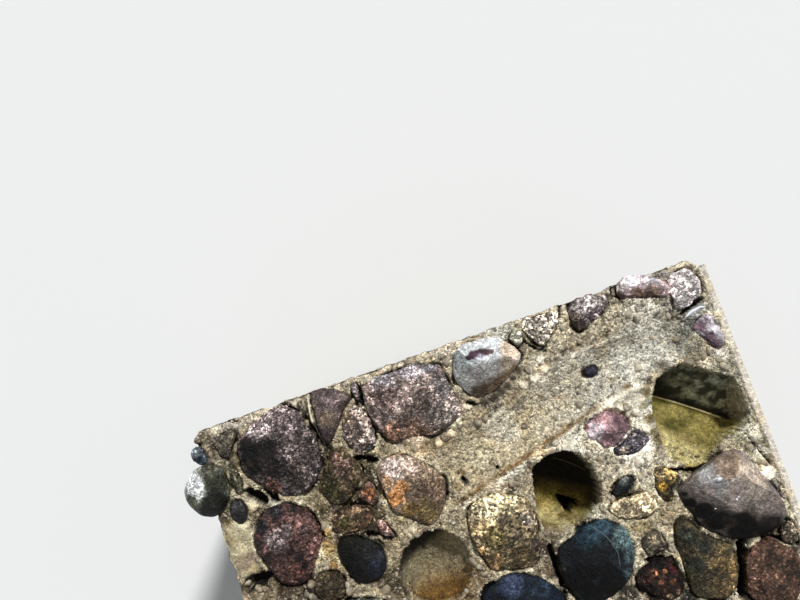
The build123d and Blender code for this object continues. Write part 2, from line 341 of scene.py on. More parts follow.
LOOKS: dict[str, StoneLook] = {
    # Painted highlight on its upper left, and painted shade on its right and lower side.
    "grey_egg_cobble": StoneLook(
        "grey_green_stone", (0.50, 0.51, 0.46), 2.2, Surface.WASHED, 2, 0, painted_shade=0.45, grit=0.8,
        patches=stains_and_shading(
            (-782, 362, 44, 97, 97, 97), (-795, 322, 26, 38, 40, 33), (-716, 350, 36, 20, 21, 16),
            (-730, 300, 42, 7, 8, 5), (-756, 276, 40, 8, 9, 7), (-722, 395, 24, 29, 28, 24))),
    "blue_chip_stone": StoneLook(
        "blue_black_stone", (0.41, 0.44, 0.48), 2.4, Surface.BROKEN, 1, 6,
        patches=stains_and_shading((-752, 445, 12, 84, 88, 90), (-742, 424, 12, 16, 20, 24))),
    "mottled_corner_stone": StoneLook(
        "grey_green_stone", (0.37, 0.34, 0.29), 2.4, Surface.PITTED, 1, 5),
    "mossy_inset_stone": StoneLook("brown_stone", (0.36, 0.35, 0.28)),
    # Painted light on its sunlit cap, and painted shade down its left side.
    "purple_black_boulder": StoneLook(
        "purple_black_stone", (0.38, 0.34, 0.33), 2.8, Surface.PITTED, 1, 9, fine=True, painted_shade=0.6,
        breaks=(
            Break(DOWN_FACE, 42, 0.76, 0.9), Break(-60, 62, 0.84, 1.15),
            Break(120, 40, 0.80, 1.2), Break(-160, 48, 0.80, 0.7)),
        patches=stains_and_shading(
            (-560, 464, 54, 68, 62, 61), (-500, 484, 42, 66, 59, 58), (-478, 440, 36, 50, 44, 44),
            (-618, 446, 20, 50, 42, 41), (-603, 412, 34, 6, 5, 5), (-604, 374, 44, 7, 6, 6),
            (-551, 392, 40, 12, 10, 10), (-555, 345, 40, 20, 17, 17), (-500, 300, 40, 34, 30, 28),
            (-572, 290, 26, 42, 30, 25))),
    "slate_wedge_stone": StoneLook(
        "purple_black_stone", (0.36, 0.31, 0.29), 3.4, Surface.WASHED, 1, 4, grit=0.55,
        breaks=(Break(UP_FACE, 60, 0.82),),
        patches=stains_and_shading(
            (-345, 475, 46, 39, 34, 33), (-388, 380, 24, 23, 19, 19),
            (-372, 412, 26, 41, 35, 30))),
    "dark_wedge_pebble": StoneLook(
        "purple_black_stone", (0.47, 0.43, 0.42), 2.4, Surface.WASHED, 1, 2),
    "speckled_granite_stone": StoneLook(
        "speckled_stone", (0.70, 0.62, 0.57), 2.6, Surface.BROKEN, 1, 14,
        breaks=(Break(DOWN_FACE, 42, 0.8),),
        patches=stains_and_shading(
            (-318, 400, 22, 66, 57, 47), (-270, 330, 26, 66, 61, 58),
            (-280, 300, 16, 44, 41, 39))),
    "brown_block_stone": StoneLook(
        "purple_black_stone", (0.56, 0.49, 0.46), 3.6, Surface.PITTED, 1, 9, fine=True, painted_shade=0.7,
        grit=0.85,
        breaks=(Break(UP_FACE, 42, 0.84), Break(DOWN_FACE, 66, 0.93)),
        patches=stains_and_shading(
            (-190, 476, 46, 56, 53, 54), (-110, 478, 46, 56, 53, 54), (-50, 466, 34, 58, 55, 56),
            (-215, 320, 36, 57, 44, 36), (-150, 300, 40, 62, 49, 41), (-60, 330, 50, 60, 55, 52),
            (-200, 420, 40, 42, 35, 33), (-40, 400, 36, 50, 47, 46))),
    "lilac_broken_stone": StoneLook(
        "lilac_stone", (0.66, 0.63, 0.61), 2.8, Surface.WASHED, 1, 8, fine=True, painted_shade=0.4,
        grit=0.75,
        breaks=(
            Break(DOWN_FACE, 34, 0.83), Break(UP_FACE, 52, 0.78), Break(-40, 40, 0.79),
            Break(-150, 50, 0.76), Break(30, 48, 0.78)),
        patches=stains_and_shading(
            (60, 430, 66, 83, 85, 85), (120, 455, 50, 82, 83, 83), (30, 400, 36, 90, 90, 88),
            (172, 430, 34, 88, 79, 70), (75, 395, 40, 75, 73, 71), (54, 446, 10, 27, 20, 23),
            (66, 450, 13, 25, 18, 21), (80, 451, 14, 27, 20, 23), (94, 449, 14, 25, 18, 21),
            (108, 445, 12, 29, 21, 23), (121, 441, 9, 41, 29, 29), (86, 440, 10, 54, 52, 58),
            (60, 330, 46, 36, 31, 25), (115, 344, 44, 42, 35, 28), (165, 372, 34, 40, 34, 27),
            (150, 400, 22, 58, 53, 46))),
    "hollow_pebble": StoneLook("grey_green_stone", (0.64, 0.63, 0.56), 2.4, Surface.PITTED, 1, 3),
    "gravelly_stone": StoneLook(
        "speckled_stone", (0.97, 0.91, 0.83), 3.0, Surface.BROKEN, 1, 12,
        breaks=(Break(DOWN_FACE, 44, 0.82),)),
    "red_rim_stone": StoneLook(
        "red_stone", (0.60, 0.54, 0.54), 2.8, Surface.BROKEN, 1, 9,
        breaks=(Break(DOWN_FACE, 40, 0.8), Break(LEFT_FACE, 50, 0.8)),
        patches=stains_and_shading(
            (400, 488, 34, 77, 72, 70), (450, 488, 30, 67, 62, 60), (370, 450, 24, 43, 38, 33),
            (380, 425, 24, 38, 32, 29))),
    "flat_rim_slab": StoneLook(
        "red_stone", (0.77, 0.67, 0.67), 4.0, Surface.BROKEN, 1, 8, painted_shade=0.4, grit=0.55,
        breaks=(Break(DOWN_FACE, 36, 0.84), Break(UP_FACE, 62, 0.9)),
        patches=stains_and_shading(
            (560, 500, 36, 81, 77, 78), (612, 484, 30, 81, 77, 78), (526, 494, 20, 90, 84, 82),
            (560, 458, 24, 60, 48, 43), (605, 446, 26, 65, 54, 49), (515, 468, 16, 46, 38, 34))),
    "purple_corner_stone": StoneLook(
        "speckled_stone", (1.0, 0.95, 0.93), 3.4, Surface.BROKEN, 1, 10, grit=0.6),
    "round_edge_pebble": StoneLook(
        "blue_black_stone", (0.17, 0.17, 0.17), 2.2, Surface.WASHED, 2, 1),
    "red_round_boulder": StoneLook(
        "red_stone", (0.34, 0.25, 0.23), 2.3, Surface.PITTED, 1, 9, fine=True, painted_shade=0.7,
        breaks=(Break(DOWN_FACE, 55, 0.84), Break(LEFT_FACE, 50, 0.86, 0.8), Break(10, 56, 0.86)),
        patches=stains_and_shading(
            (-604, 150, 38, 52, 46, 45), (-574, 166, 22, 46, 41, 40), (-532, 215, 22, 14, 12, 12),
            (-583, 222, 26, 13, 13, 14), (-636, 199, 24, 12, 12, 13), (-661, 160, 18, 11, 10, 11),
            (-650, 107, 18, 16, 13, 13), (-575, 50, 30, 40, 27, 24), (-520, 100, 26, 40, 29, 27),
            (-524, 150, 18, 28, 22, 21), (-576, 108, 12, 8, 6, 6), (-560, 86, 13, 7, 5, 5),
            (-556, 58, 13, 9, 6, 6), (-575, 24, 14, 14, 9, 8))),
    "olive_cobble": StoneLook(
        "brown_stone", (0.35, 0.30, 0.22), 2.4, Surface.PITTED, 1, 7,
        patches=stains_and_shading(
            (-370, 270, 36, 39, 31, 27), (-420, 225, 34, 32, 30, 18),
            (-388, 312, 20, 33, 25, 22))),
    "rust_stone": StoneLook(
        "red_stone", (0.45, 0.35, 0.30), 2.4, Surface.PITTED, 1, 6,
        patches=stains_and_shading((-325, 188, 18, 62, 41, 27))),
    "brown_oval_stone": StoneLook(
        "brown_stone", (0.48, 0.39, 0.30), 2.4, Surface.PITTED, 1, 6,
        patches=stains_and_shading((-420, 130, 24, 37, 33, 21), (-360, 120, 20, 49, 37, 29))),
    "orange_boulder": StoneLook(
        "orange_stone", (0.61, 0.52, 0.43), 2.4, Surface.WASHED, 2, 7, fine=True, painted_shade=0.6,
        breaks=(Break(DOWN_FACE, 60, 0.9), Break(150, 58, 0.86)),
        patches=stains_and_shading(
            (-240, 228, 40, 86, 78, 73), (-200, 220, 34, 77, 67, 60), (-262, 150, 26, 88, 62, 38),
            (-240, 172, 24, 86, 62, 41), (-272, 200, 20, 84, 67, 52), (-170, 140, 46, 49, 40, 33),
            (-190, 88, 40, 46, 39, 26), (-235, 108, 26, 61, 48, 30),
            (-130, 140, 20, 42, 35, 28))),
    "black_round_cobble": StoneLook(
        "blue_black_stone", (0.08, 0.08, 0.08), 2.2, Surface.WASHED, 2, 5,
        breaks=(Break(70, 60, 0.86),),
        patches=stains_and_shading(
            (-420, 70, 34, 7, 7, 4), (-370, -10, 34, 10, 11, 14), (-350, 20, 16, 14, 15, 17))),
    "pink_sliver_stone": StoneLook(
        "red_stone", (0.76, 0.60, 0.55), 2.4, Surface.BROKEN, 1, 4,
        patches=stains_and_shading((-316, 66, 12, 94, 84, 78), (-303, 50, 12, 92, 80, 74))),
    "small_brown_stone": StoneLook("brown_stone", (0.28, 0.24, 0.18), 2.6, Surface.PITTED, 1, 4),
    "yellow_mottled_boulder": StoneLook(
        "yellow_stone", (0.60, 0.53, 0.41), 2.6, Surface.PITTED, 1, 8, fine=True, painted_shade=0.6,
        breaks=(Break(DOWN_FACE, 48, 0.8), Break(UP_FACE, 60, 0.88)),
        patches=stains_and_shading(
            (-50, 40, 48, 90, 83, 67), (20, 45, 44, 87, 80, 64), (-70, 0, 30, 84, 73, 54),
            (-40, -40, 40, 53, 47, 31), (20, -30, 36, 49, 43, 33), (60, -20, 24, 59, 54, 48),
            (-60, -100, 30, 61, 49, 34), (10, -110, 44, 44, 37, 27), (62, -90, 24, 32, 27, 24),
            (-92, -60, 18, 78, 62, 42))),
    "trough_pebble": StoneLook("blue_black_stone", (0.18, 0.18, 0.22), 2.4, Surface.WASHED, 1, 2),
    "pink_angular_stone": StoneLook(
        "pink_stone", (0.69, 0.55, 0.56), 3.2, Surface.BROKEN, 1, 6, grit=0.8,
        breaks=(
            Break(LEFT_FACE, 46, 0.70, 1.3), Break(DOWN_FACE, 50, 0.74, 0.85),
            Break(20, 48, 0.74, 0.7), Break(80, 56, 0.80, 0.85)),
        patches=stains_and_shading(
            (312, 140, 30, 93, 86, 88), (300, 116, 22, 90, 82, 84), (298, 160, 11, 54, 36, 35),
            (352, 178, 24, 68, 53, 53), (396, 152, 36, 52, 40, 42), (375, 106, 24, 48, 40, 41))),
    "plum_flake_stone": StoneLook(
        "purple_black_stone", (0.37, 0.35, 0.37), 2.4, Surface.BROKEN, 1, 6,
        patches=stains_and_shading((372, 68, 12, 84, 78, 70), (408, 100, 16, 52, 47, 48))),
    "small_dark_oval_stone": StoneLook(
        "blue_black_stone", (0.13, 0.14, 0.14), 2.4, Surface.WASHED, 2, 1,
        patches=stains_and_shading((346, -4, 17, 50, 51, 48), (340, -42, 20, 5, 6, 6))),
    "mortared_grey_stone": StoneLook(
        "grey_green_stone", (0.86, 0.78, 0.63), 2.4, Surface.BROKEN, 2, 6),
    "ochre_stone": StoneLook(
        "yellow_stone", (0.30, 0.25, 0.13), 2.4, Surface.PITTED, 1, 5,
        patches=stains_and_shading(
            (446, -22, 25, 88, 77, 56), (474, -30, 20, 78, 66, 42), (440, -60, 13, 56, 42, 16),
            (470, -80, 20, 10, 8, 4))),
    "purple_edge_stone": StoneLook(
        "pink_stone", (0.72, 0.67, 0.69), 3.2, Surface.BROKEN, 1, 6, grit=0.6,
        breaks=(Break(LEFT_FACE, 48, 0.72), Break(20, 56, 0.8)),
        patches=stains_and_shading(
            (728, 300, 28, 91, 87, 90), (690, 315, 16, 57, 45, 49), (705, 280, 18, 58, 48, 52),
            (720, 255, 14, 59, 49, 54))),
    # The near-black patches on its lower flank are painted shade over damp stone.
    "grey_triangle_boulder": StoneLook(
        "lilac_stone", (0.52, 0.48, 0.45), 2.3, Surface.WASHED, 2, 5, fine=True, painted_shade=0.12,
        grit=0.8,
        breaks=(
            Break(DOWN_FACE, 30, 0.84), Break(-150, 34, 0.86), Break(25, 48, 0.78),
            Break(100, 55, 0.84)),
        patches=stains_and_shading(
            (560, -80, 46, 62, 61, 60), (620, -60, 44, 56, 48, 41), (660, -110, 52, 69, 63, 57),
            (700, -190, 36, 50, 45, 43), (530, -110, 36, 58, 53, 51), (610, -120, 36, 58, 53, 50),
            (540, -185, 44, 2, 2, 2), (600, -225, 66, 2, 2, 2), (670, -250, 50, 2, 2, 2),
            (508, -150, 26, 3, 3, 4), (490, -118, 18, 3, 3, 4), (516, -150, 30, 2, 2, 2),
            (484, -94, 9, 10, 9, 9))),
    "dark_edge_pebble": StoneLook(
        "purple_black_stone", (0.56, 0.52, 0.49), 2.4, Surface.PITTED, 1, 3),
    "grey_brown_wedge_stone": StoneLook(
        "brown_stone", (0.50, 0.44, 0.37), 2.4, Surface.PITTED, 1, 4),
    "green_patch_stone": StoneLook(
        "grey_green_stone", (0.35, 0.32, 0.27), 2.4, Surface.BROKEN, 1, 9,
        patches=stains_and_shading(
            (364, -182, 12, 58, 52, 41), (394, -190, 10, 56, 50, 40), (362, -217, 12, 12, 11, 9),
            (394, -217, 12, 14, 13, 10), (380, -199, 7, 12, 11, 9))),
    "red_rubble_stone": StoneLook(
        "red_stone", (0.14, 0.09, 0.07), 3.0, Surface.RUBBLE, 1, 18, fine=True, pit_shading=120.0,
        patches=stains_and_shading(
            (330, -262, 13, 49, 32, 23), (372, -300, 12, 42, 26, 17), (350, -245, 14, 5, 4, 4),
            (310, -300, 18, 5, 3, 3), (306, -280, 10, 30, 17, 15), (385, -268, 13, 31, 12, 13),
            (345, -290, 9, 33, 19, 14), (345, -322, 12, 34, 24, 15), (392, -300, 12, 3, 2, 2),
            (352, -338, 11, 74, 62, 46), (322, -322, 9, 62, 50, 38), (378, -330, 9, 60, 46, 34),
            (362, -268, 8, 60, 40, 30))),
    "green_black_stone": StoneLook(
        "grey_green_stone", (0.25, 0.22, 0.15), 2.6, Surface.PITTED, 1, 8, fine=True, painted_shade=0.55,
        breaks=(Break(LEFT_FACE, 45, 0.8), Break(DOWN_FACE, 55, 0.86)),
        patches=stains_and_shading(
            (520, -300, 44, 52, 43, 28), (500, -350, 36, 47, 39, 26), (545, -270, 24, 36, 31, 21),
            (450, -200, 34, 15, 16, 12), (440, -280, 30, 16, 16, 11),
            (480, -240, 24, 12, 13, 10))),
    "brick_red_stone": StoneLook(
        "red_stone", (0.36, 0.27, 0.22), 2.8, Surface.PITTED, 1, 7, fine=True, grit=0.8,
        breaks=(Break(UP_FACE, 66, 0.9),)),
    # Painted shade on its left and lower side, and painted light on its right facet, by patches and
    # facet factors.
    "blue_black_boulder": StoneLook(
        "blue_black_stone", (0.06, 0.07, 0.08), 2.7, Surface.WASHED, 1, 5, fine=True, painted_shade=0.4,
        breaks=(
            Break(-150, 40, 0.77, 0.8), Break(-2, 47, 0.70, 1.5), Break(150, 50, 0.74, 0.9),
            Break(80, 48, 0.76), Break(DOWN_FACE, 42, 0.78, 0.7)),
        patches=stains_and_shading(
            (190, -112, 40, 13, 20, 24), (245, -104, 30, 20, 28, 32), (288, -146, 36, 32, 39, 39),
            (294, -198, 30, 26, 32, 33), (272, -244, 24, 17, 21, 22), (150, -230, 60, 2, 2, 3),
            (106, -176, 10, 30, 30, 25))),
    "slate_blue_boulder": StoneLook(
        "blue_black_stone", (0.05, 0.08, 0.12), 2.4, Surface.WASHED, 2, 4,
        patches=stains_and_shading(
            (-40, -165, 40, 21, 24, 32), (30, -190, 36, 15, 20, 26), (-90, -200, 30, 2, 3, 6))),
    "near_cobble_01": StoneLook("purple_black_stone", (0.36, 0.31, 0.31)),
    "near_cobble_02": StoneLook("grey_green_stone", (0.36, 0.36, 0.31)),
    "near_cobble_03": StoneLook("blue_black_stone", (0.18, 0.20, 0.23), surface=Surface.WASHED),
    "near_cobble_04": StoneLook("red_stone", (0.36, 0.26, 0.24)),
    "near_cobble_05": StoneLook("yellow_stone", (0.50, 0.44, 0.32)),
    "near_cobble_06": StoneLook("brown_stone", (0.34, 0.29, 0.23)),
    "near_cobble_07": StoneLook("grey_green_stone", (0.42, 0.42, 0.38)),
    "near_cobble_08": StoneLook("purple_black_stone", (0.40, 0.35, 0.33)),
    "near_cobble_09": StoneLook("lilac_stone", (0.56, 0.53, 0.53), surface=Surface.WASHED),
    "near_cobble_10": StoneLook("brown_stone", (0.33, 0.29, 0.22)),
    "near_cobble_11": StoneLook("speckled_stone", (0.54, 0.49, 0.46)),
    "near_cobble_12": StoneLook("blue_black_stone", (0.20, 0.22, 0.26), surface=Surface.WASHED),
    "near_cobble_13": StoneLook("red_stone", (0.40, 0.32, 0.29)),
}


class NodeSheet:
    """A finish's node sheet, with short calls for what stone and mortar need."""

    # Ramps hold no more than 1, so brightness is kept in them as a share of this.
    brightest = 3.0

    def __init__(self, name: str) -> None:
        """Start a sheet with its shader and the place of each point on the block.

        Args:
            name: The finish's name.
        """
        self.material = bpy.data.materials.new(name)
        self.material.use_nodes = True
        self.tree = self.material.node_tree
        self.tree.nodes.clear()
        self.shader = self.add("ShaderNodeBsdfPrincipled")
        out = self.add("ShaderNodeOutputMaterial")
        self.tree.links.new(self.shader.outputs[0], out.inputs[0])
        self.place = self.add("ShaderNodeTexCoord").outputs["Object"]

    def add(self, kind: str, **settings: object) -> bpy.types.Node:
        """Put a node on the sheet.

        Args:
            kind: The node's type.
            settings: Its options.

        Returns:
            The node.
        """
        node = self.tree.nodes.new(kind)
        for name, value in settings.items():
            setattr(node, name, value)
        return node

    def join(self, source: object, target: bpy.types.NodeSocket) -> None:
        """Link a socket, or set the socket where the source is a plain number or colour."""
        if isinstance(source, bpy.types.NodeSocket):
            self.tree.links.new(source, target)
        else:
            target.default_value = source

    def tone(self) -> bpy.types.NodeSocket:
        """The tone painted on the mesh."""
        return self.add("ShaderNodeAttribute", attribute_name="tone").outputs["Color"]

    def gritty(self, factor: bpy.types.NodeSocket) -> bpy.types.NodeSocket:
        """A brightness factor, which counts only as far as the mesh is gritty."""
        node = self.add("ShaderNodeMix", data_type="FLOAT")
        grit = self.add("ShaderNodeAttribute", attribute_name="tone").outputs["Alpha"]
        self.join(grit, node.inputs[0])
        node.inputs[2].default_value = 1.0
        self.join(factor, node.inputs[3])
        return node.outputs[0]

    def stretched(self, turn: float, squeeze: tuple[float, float, float]) -> bpy.types.NodeSocket:
        """Places turned about Z, in degrees, and squeezed, for streaks."""
        mapping = self.add("ShaderNodeMapping")
        self.join(self.place, mapping.inputs["Vector"])
        mapping.inputs["Rotation"].default_value = (0, 0, math.radians(turn))
        mapping.inputs["Scale"].default_value = squeeze
        return mapping.outputs[0]

    def cloud(self, pitch: float, detail: float = 3.0, rough: float = 0.55,
              place: bpy.types.NodeSocket | None = None) -> bpy.types.NodeSocket:
        """Soft mottling.

        Args:
            pitch: Size of the blotches, in metres.
            detail: How many finer layers it has.
            rough: Strength of the finer layers.
            place: Places to read, the block's own unless given.

        Returns:
            A value about 0.5.
        """
        node = self.add("ShaderNodeTexNoise")
        self.join(place or self.place, node.inputs["Vector"])
        node.inputs["Scale"].default_value = 1 / pitch
        node.inputs["Detail"].default_value = detail
        node.inputs["Roughness"].default_value = rough
        return node.outputs[0]

    def grains(self, pitch: float) -> bpy.types.Node:
        """Grains of one size in metres, packed side by side, each with its own colour."""
        node = self.add("ShaderNodeTexVoronoi")
        self.join(self.place, node.inputs["Vector"])
        node.inputs["Scale"].default_value = 1 / pitch
        return node

    def shade_of(self, grains: bpy.types.Node) -> bpy.types.NodeSocket:
        """One random value for each grain."""
        split = self.add("ShaderNodeSeparateColor")
        self.join(grains.outputs["Color"], split.inputs[0])
        return split.outputs[0]

    def steps(self, value: bpy.types.NodeSocket,
              stops: tuple[tuple[float, float], ...]) -> bpy.types.NodeSocket:
        """Turn a value into brightness steps.

        Args:
            value: What is read.
            stops: Pairs of a place from 0 to 1 and the brightness there, in rising order.

        Returns:
            The brightness.
        """
        node = self.add("ShaderNodeValToRGB")
        self.join(value, node.inputs[0])
        ramp = node.color_ramp
        while len(ramp.elements) < len(stops):
            ramp.elements.new(1.0)
        for element, (at, bright) in zip(ramp.elements, stops):
            element.position = at
            element.color = (*[bright / self.brightest] * 3, 1)
        return self.sum_of("MULTIPLY", node.outputs[0], self.brightest)

    def level(self, value: bpy.types.NodeSocket, low: float, high: float,
              to_low: float, to_high: float) -> bpy.types.NodeSocket:
        """Spread a value from one range to another, clamped."""
        node = self.add("ShaderNodeMapRange")
        self.join(value, node.inputs["Value"])
        for name, number in (
                ("From Min", low), ("From Max", high), ("To Min", to_low), ("To Max", to_high)):
            node.inputs[name].default_value = number
        return node.outputs[0]

    def sum_of(self, work: str, first: object, second: object) -> bpy.types.NodeSocket:
        """Two values worked into one: ADD, MULTIPLY and so on."""
        node = self.add("ShaderNodeMath", operation=work)
        self.join(first, node.inputs[0])
        self.join(second, node.inputs[1])
        return node.outputs[0]

    def lit(self, colour: bpy.types.NodeSocket,
            factor: bpy.types.NodeSocket | tuple[float, float, float]) -> bpy.types.NodeSocket:
        """A colour made lighter or darker by a factor, or tinted by three."""
        tinted = isinstance(factor, tuple)
        node = self.add("ShaderNodeVectorMath", operation="MULTIPLY" if tinted else "SCALE")
        self.join(colour, node.inputs[0])
        self.join(factor, node.inputs[1] if tinted else node.inputs["Scale"])
        return node.outputs[0]

    def blend(self, first: object, second: object, share: object) -> bpy.types.NodeSocket:
        """Two colours mixed by a share."""
        node = self.add("ShaderNodeMix", data_type="RGBA")
        self.join(share, node.inputs[0])
        for socket, source in ((node.inputs[6], first), (node.inputs[7], second)):
            self.join((*source, 1.0) if isinstance(source, Vector) else source, socket)
        return node.outputs[2]

    def bump(self, height: bpy.types.NodeSocket, depth: float) -> bpy.types.NodeSocket:
        """Raise the skin by a height from 0 to 1, where 1 stands for the depth in metres."""
        node = self.add("ShaderNodeBump")
        self.join(height, node.inputs["Height"])
        node.inputs["Distance"].default_value = depth
        return node.outputs[0]

    def finish(self, colour: bpy.types.NodeSocket, rough: bpy.types.NodeSocket,
               normal: bpy.types.NodeSocket, gloss: float) -> bpy.types.Material:
        """Join colour, roughness and bumps to the shader."""
        self.join(colour, self.shader.inputs["Base Color"])
        self.join(rough, self.shader.inputs["Roughness"])
        self.join(normal, self.shader.inputs["Normal"])
        self.shader.inputs["Specular IOR Level"].default_value = gloss
        return self.material


@dataclass(frozen=True)
class StoneFinish:
    """The skin of one kind of stone."""

    name: str
    grain: float
    contrast: float
    sparkle: float
    blotch: float
    blotch_depth: float
    accent: tuple[float, float, float]
    accent_share: float
    dull: tuple[float, float]
    gloss: float
    grit: float
    streak: float = 1.0

    def _speckle(self, sheet: NodeSheet, grains: bpy.types.Node,
                 share: float) -> bpy.types.NodeSocket:
        """Dark, middling and bright grains.

        Args:
            sheet: The finish's sheet.
            grains: The grains.
            share: How much of the finish's contrast they have.

        Returns:
            The brightness of each grain.
        """
        contrast = self.contrast * share
        return sheet.steps(sheet.shade_of(grains), (
            (0.0, 1 - 1.3 * contrast), (0.35, 1 - contrast * 0.8), (0.65, 1 + 0.1 * contrast),
            (0.97 - self.sparkle * 2, 1 + 1.1 * contrast),
            (0.985 - self.sparkle, 1 + 1.1 * contrast + 26 * self.sparkle * share)))

    def material(self) -> bpy.types.Material:
        """Mix the finish: mottling, mineral grains and grit over the painted tone."""
        sheet = NodeSheet(self.name)
        places = sheet.stretched(30, (1, self.streak, 1)) if self.streak != 1 else None
        blotches = sheet.cloud(self.blotch, 6, 0.62, places)
        mottle = sheet.level(
            blotches, 0.37, 0.63, 1 - self.blotch_depth, 1 + self.blotch_depth)
        grains = sheet.grains(self.grain)
        speckle = self._speckle(sheet, grains, 1.0)
        crystals = self._speckle(sheet, sheet.grains(self.grain * 2.3), 0.55)
        fine = sheet.level(
            sheet.cloud(self.grain * 0.9, 3, 0.7), 0.3, 0.7,
            1 - self.contrast * 0.4, 1 + self.contrast * 0.4)
        colour = sheet.lit(sheet.tone(), sheet.sum_of("MULTIPLY", mottle, fine))
        colour = sheet.lit(colour, sheet.gritty(sheet.sum_of("MULTIPLY", crystals, speckle)))
        stain = sheet.level(
            sheet.cloud(self.blotch * 0.7, 5, 0.6), 0.55, 0.68, 0.0, self.accent_share)
        colour = sheet.blend(colour, paint(*self.accent), stain)
        rough = sheet.level(blotches, 0.35, 0.65, *self.dull)
        height = sheet.sum_of(
            "ADD", sheet.cloud(self.grain * 2.2, 4, 0.65),
            sheet.sum_of("MULTIPLY", grains.outputs["Distance"], -0.5))
        normal = sheet.bump(height, self.grit)
        return sheet.finish(colour, rough, normal, self.gloss)


STONE_FINISHES: dict[str, StoneFinish] = {finish.name: finish for finish in (
    StoneFinish(
        "purple_black_stone", 0.0044, 0.70, 0.055, 0.045, 0.52, (0.42, 0.32, 0.28), 0.2,
        (0.42, 0.7), 0.2, 0.006),
    StoneFinish(
        "blue_black_stone", 0.004, 0.50, 0.02, 0.05, 0.62, (0.18, 0.22, 0.24), 0.25, (0.28, 0.55),
        0.12, 0.004),
    StoneFinish(
        "red_stone", 0.005, 0.66, 0.04, 0.04, 0.56, (0.42, 0.28, 0.24), 0.3, (0.45, 0.75), 0.2,
        0.006),
    StoneFinish(
        "pink_stone", 0.005, 0.43, 0.02, 0.045, 0.33, (0.44, 0.30, 0.32), 0.35, (0.5, 0.75), 0.24,
        0.005),
    StoneFinish(
        "lilac_stone", 0.0042, 0.41, 0.012, 0.06, 0.34, (0.46, 0.38, 0.32), 0.12, (0.34, 0.62),
        0.14, 0.004),
    StoneFinish(
        "orange_stone", 0.0046, 0.55, 0.03, 0.05, 0.42, (0.56, 0.42, 0.28), 0.2, (0.4, 0.7), 0.2,
        0.005),
    StoneFinish(
        "yellow_stone", 0.006, 0.70, 0.035, 0.036, 0.52, (0.34, 0.31, 0.18), 0.4, (0.45, 0.78),
        0.22, 0.007),
    StoneFinish(
        "brown_stone", 0.005, 0.67, 0.04, 0.045, 0.62, (0.36, 0.31, 0.17), 0.35, (0.5, 0.8), 0.2,
        0.006),
    StoneFinish(
        "grey_green_stone", 0.0046, 0.60, 0.035, 0.04, 0.60, (0.38, 0.34, 0.22), 0.3,
        (0.36, 0.68), 0.22, 0.005, streak=0.5),
    StoneFinish(
        "speckled_stone", 0.0062, 0.74, 0.06, 0.04, 0.39, (0.56, 0.44, 0.34), 0.3, (0.5, 0.8),
        0.35, 0.009),
)}


@dataclass(frozen=True)
class MortarFinish:
    """Weathered mortar: sand and fine gravel in a cream paste, stained brown in places."""

    name: str = "concrete"
    sand: float = 0.0034
    gravel: float = 0.0085
    crumb: float = 0.02

    def material(self) -> bpy.types.Material:
        """Mix the finish over the painted tone."""
        sheet = NodeSheet(self.name)
        sand = sheet.grains(self.sand)
        sand_shade = sheet.steps(sheet.shade_of(sand), (
            (0.0, 0.3), (0.15, 0.6), (0.45, 1.0), (0.75, 1.2), (0.96, 1.75)))
        gravel = sheet.grains(self.gravel)
        gravel_shade = sheet.steps(sheet.shade_of(gravel), (
            (0.0, 0.3), (0.12, 0.62), (0.3, 1.0), (0.75, 1.12), (0.93, 1.6)))
        worn = sheet.level(sheet.cloud(self.crumb, 5, 0.66), 0.3, 0.7, 0.62, 1.42)
        broad = sheet.level(sheet.cloud(0.14, 4, 0.55), 0.3, 0.7, 0.88, 1.16)
        speckle = sheet.gritty(sheet.sum_of("MULTIPLY", sand_shade, gravel_shade))
        colour = sheet.lit(sheet.tone(), speckle)
        colour = sheet.lit(colour, sheet.gritty(sheet.sum_of("MULTIPLY", worn, broad)))
        stain = sheet.level(sheet.cloud(0.055, 6, 0.65), 0.5, 0.68, 0.0, 0.5)
        colour = sheet.blend(colour, sheet.lit(colour, (0.86, 0.68, 0.40)), stain)
        rough = sheet.level(sheet.cloud(0.02, 3, 0.5), 0.3, 0.7, 0.72, 0.94)
        height = sheet.sum_of(
            "ADD", sheet.cloud(self.crumb, 5, 0.68),
            sheet.sum_of("MULTIPLY", gravel.outputs["Distance"], -0.45))
        height = sheet.sum_of(
            "ADD", height, sheet.sum_of("MULTIPLY", sand.outputs["Distance"], -0.25))
        normal = sheet.bump(sheet.gritty(height), 0.011)
        return sheet.finish(colour, rough, normal, 0.25)


@dataclass(frozen=True)
class SmallFinish:
    """The skin of small things, each in its own painted tone."""

    name: str
    blotch: float
    shades: tuple[float, float]
    polish: float
    dull: tuple[float, float]
    grain: float
    grit: float
    gloss: float

    def material(self) -> bpy.types.Material:
        """Mix the finish over the painted tones."""
        sheet = NodeSheet(self.name)
        mottle = sheet.level(sheet.cloud(self.blotch, 4, 0.6), 0.3, 0.7, *self.shades)
        rough = sheet.level(sheet.cloud(self.polish, 2, 0.5), 0.35, 0.65, *self.dull)
        normal = sheet.bump(sheet.cloud(self.grain, 3, 0.6), self.grit)
        return sheet.finish(sheet.lit(sheet.tone(), mottle), rough, normal, self.gloss)


# Washed pebbles and gravel, and the chalky white of shells and veins.
PEBBLES = SmallFinish("gravel", 0.007, (0.72, 1.28), 0.03, (0.5, 0.85), 0.005, 0.0015, 0.35)
CHALK = SmallFinish("shell_white", 0.006, (0.8, 1.12), 0.02, (0.55, 0.8), 0.004, 0.001, 0.3)


def dress(piece: bpy.types.Object, material: bpy.types.Material) -> None:
    """Give a piece its finish and slot, and seat it on the block's body.

    Args:
        piece: The piece.
        material: Its finish.
    """
    piece.data.materials.clear()
    piece.data.materials.append(material)
    for polygon in piece.data.polygons:
        polygon.use_smooth = True
    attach(piece, "root")


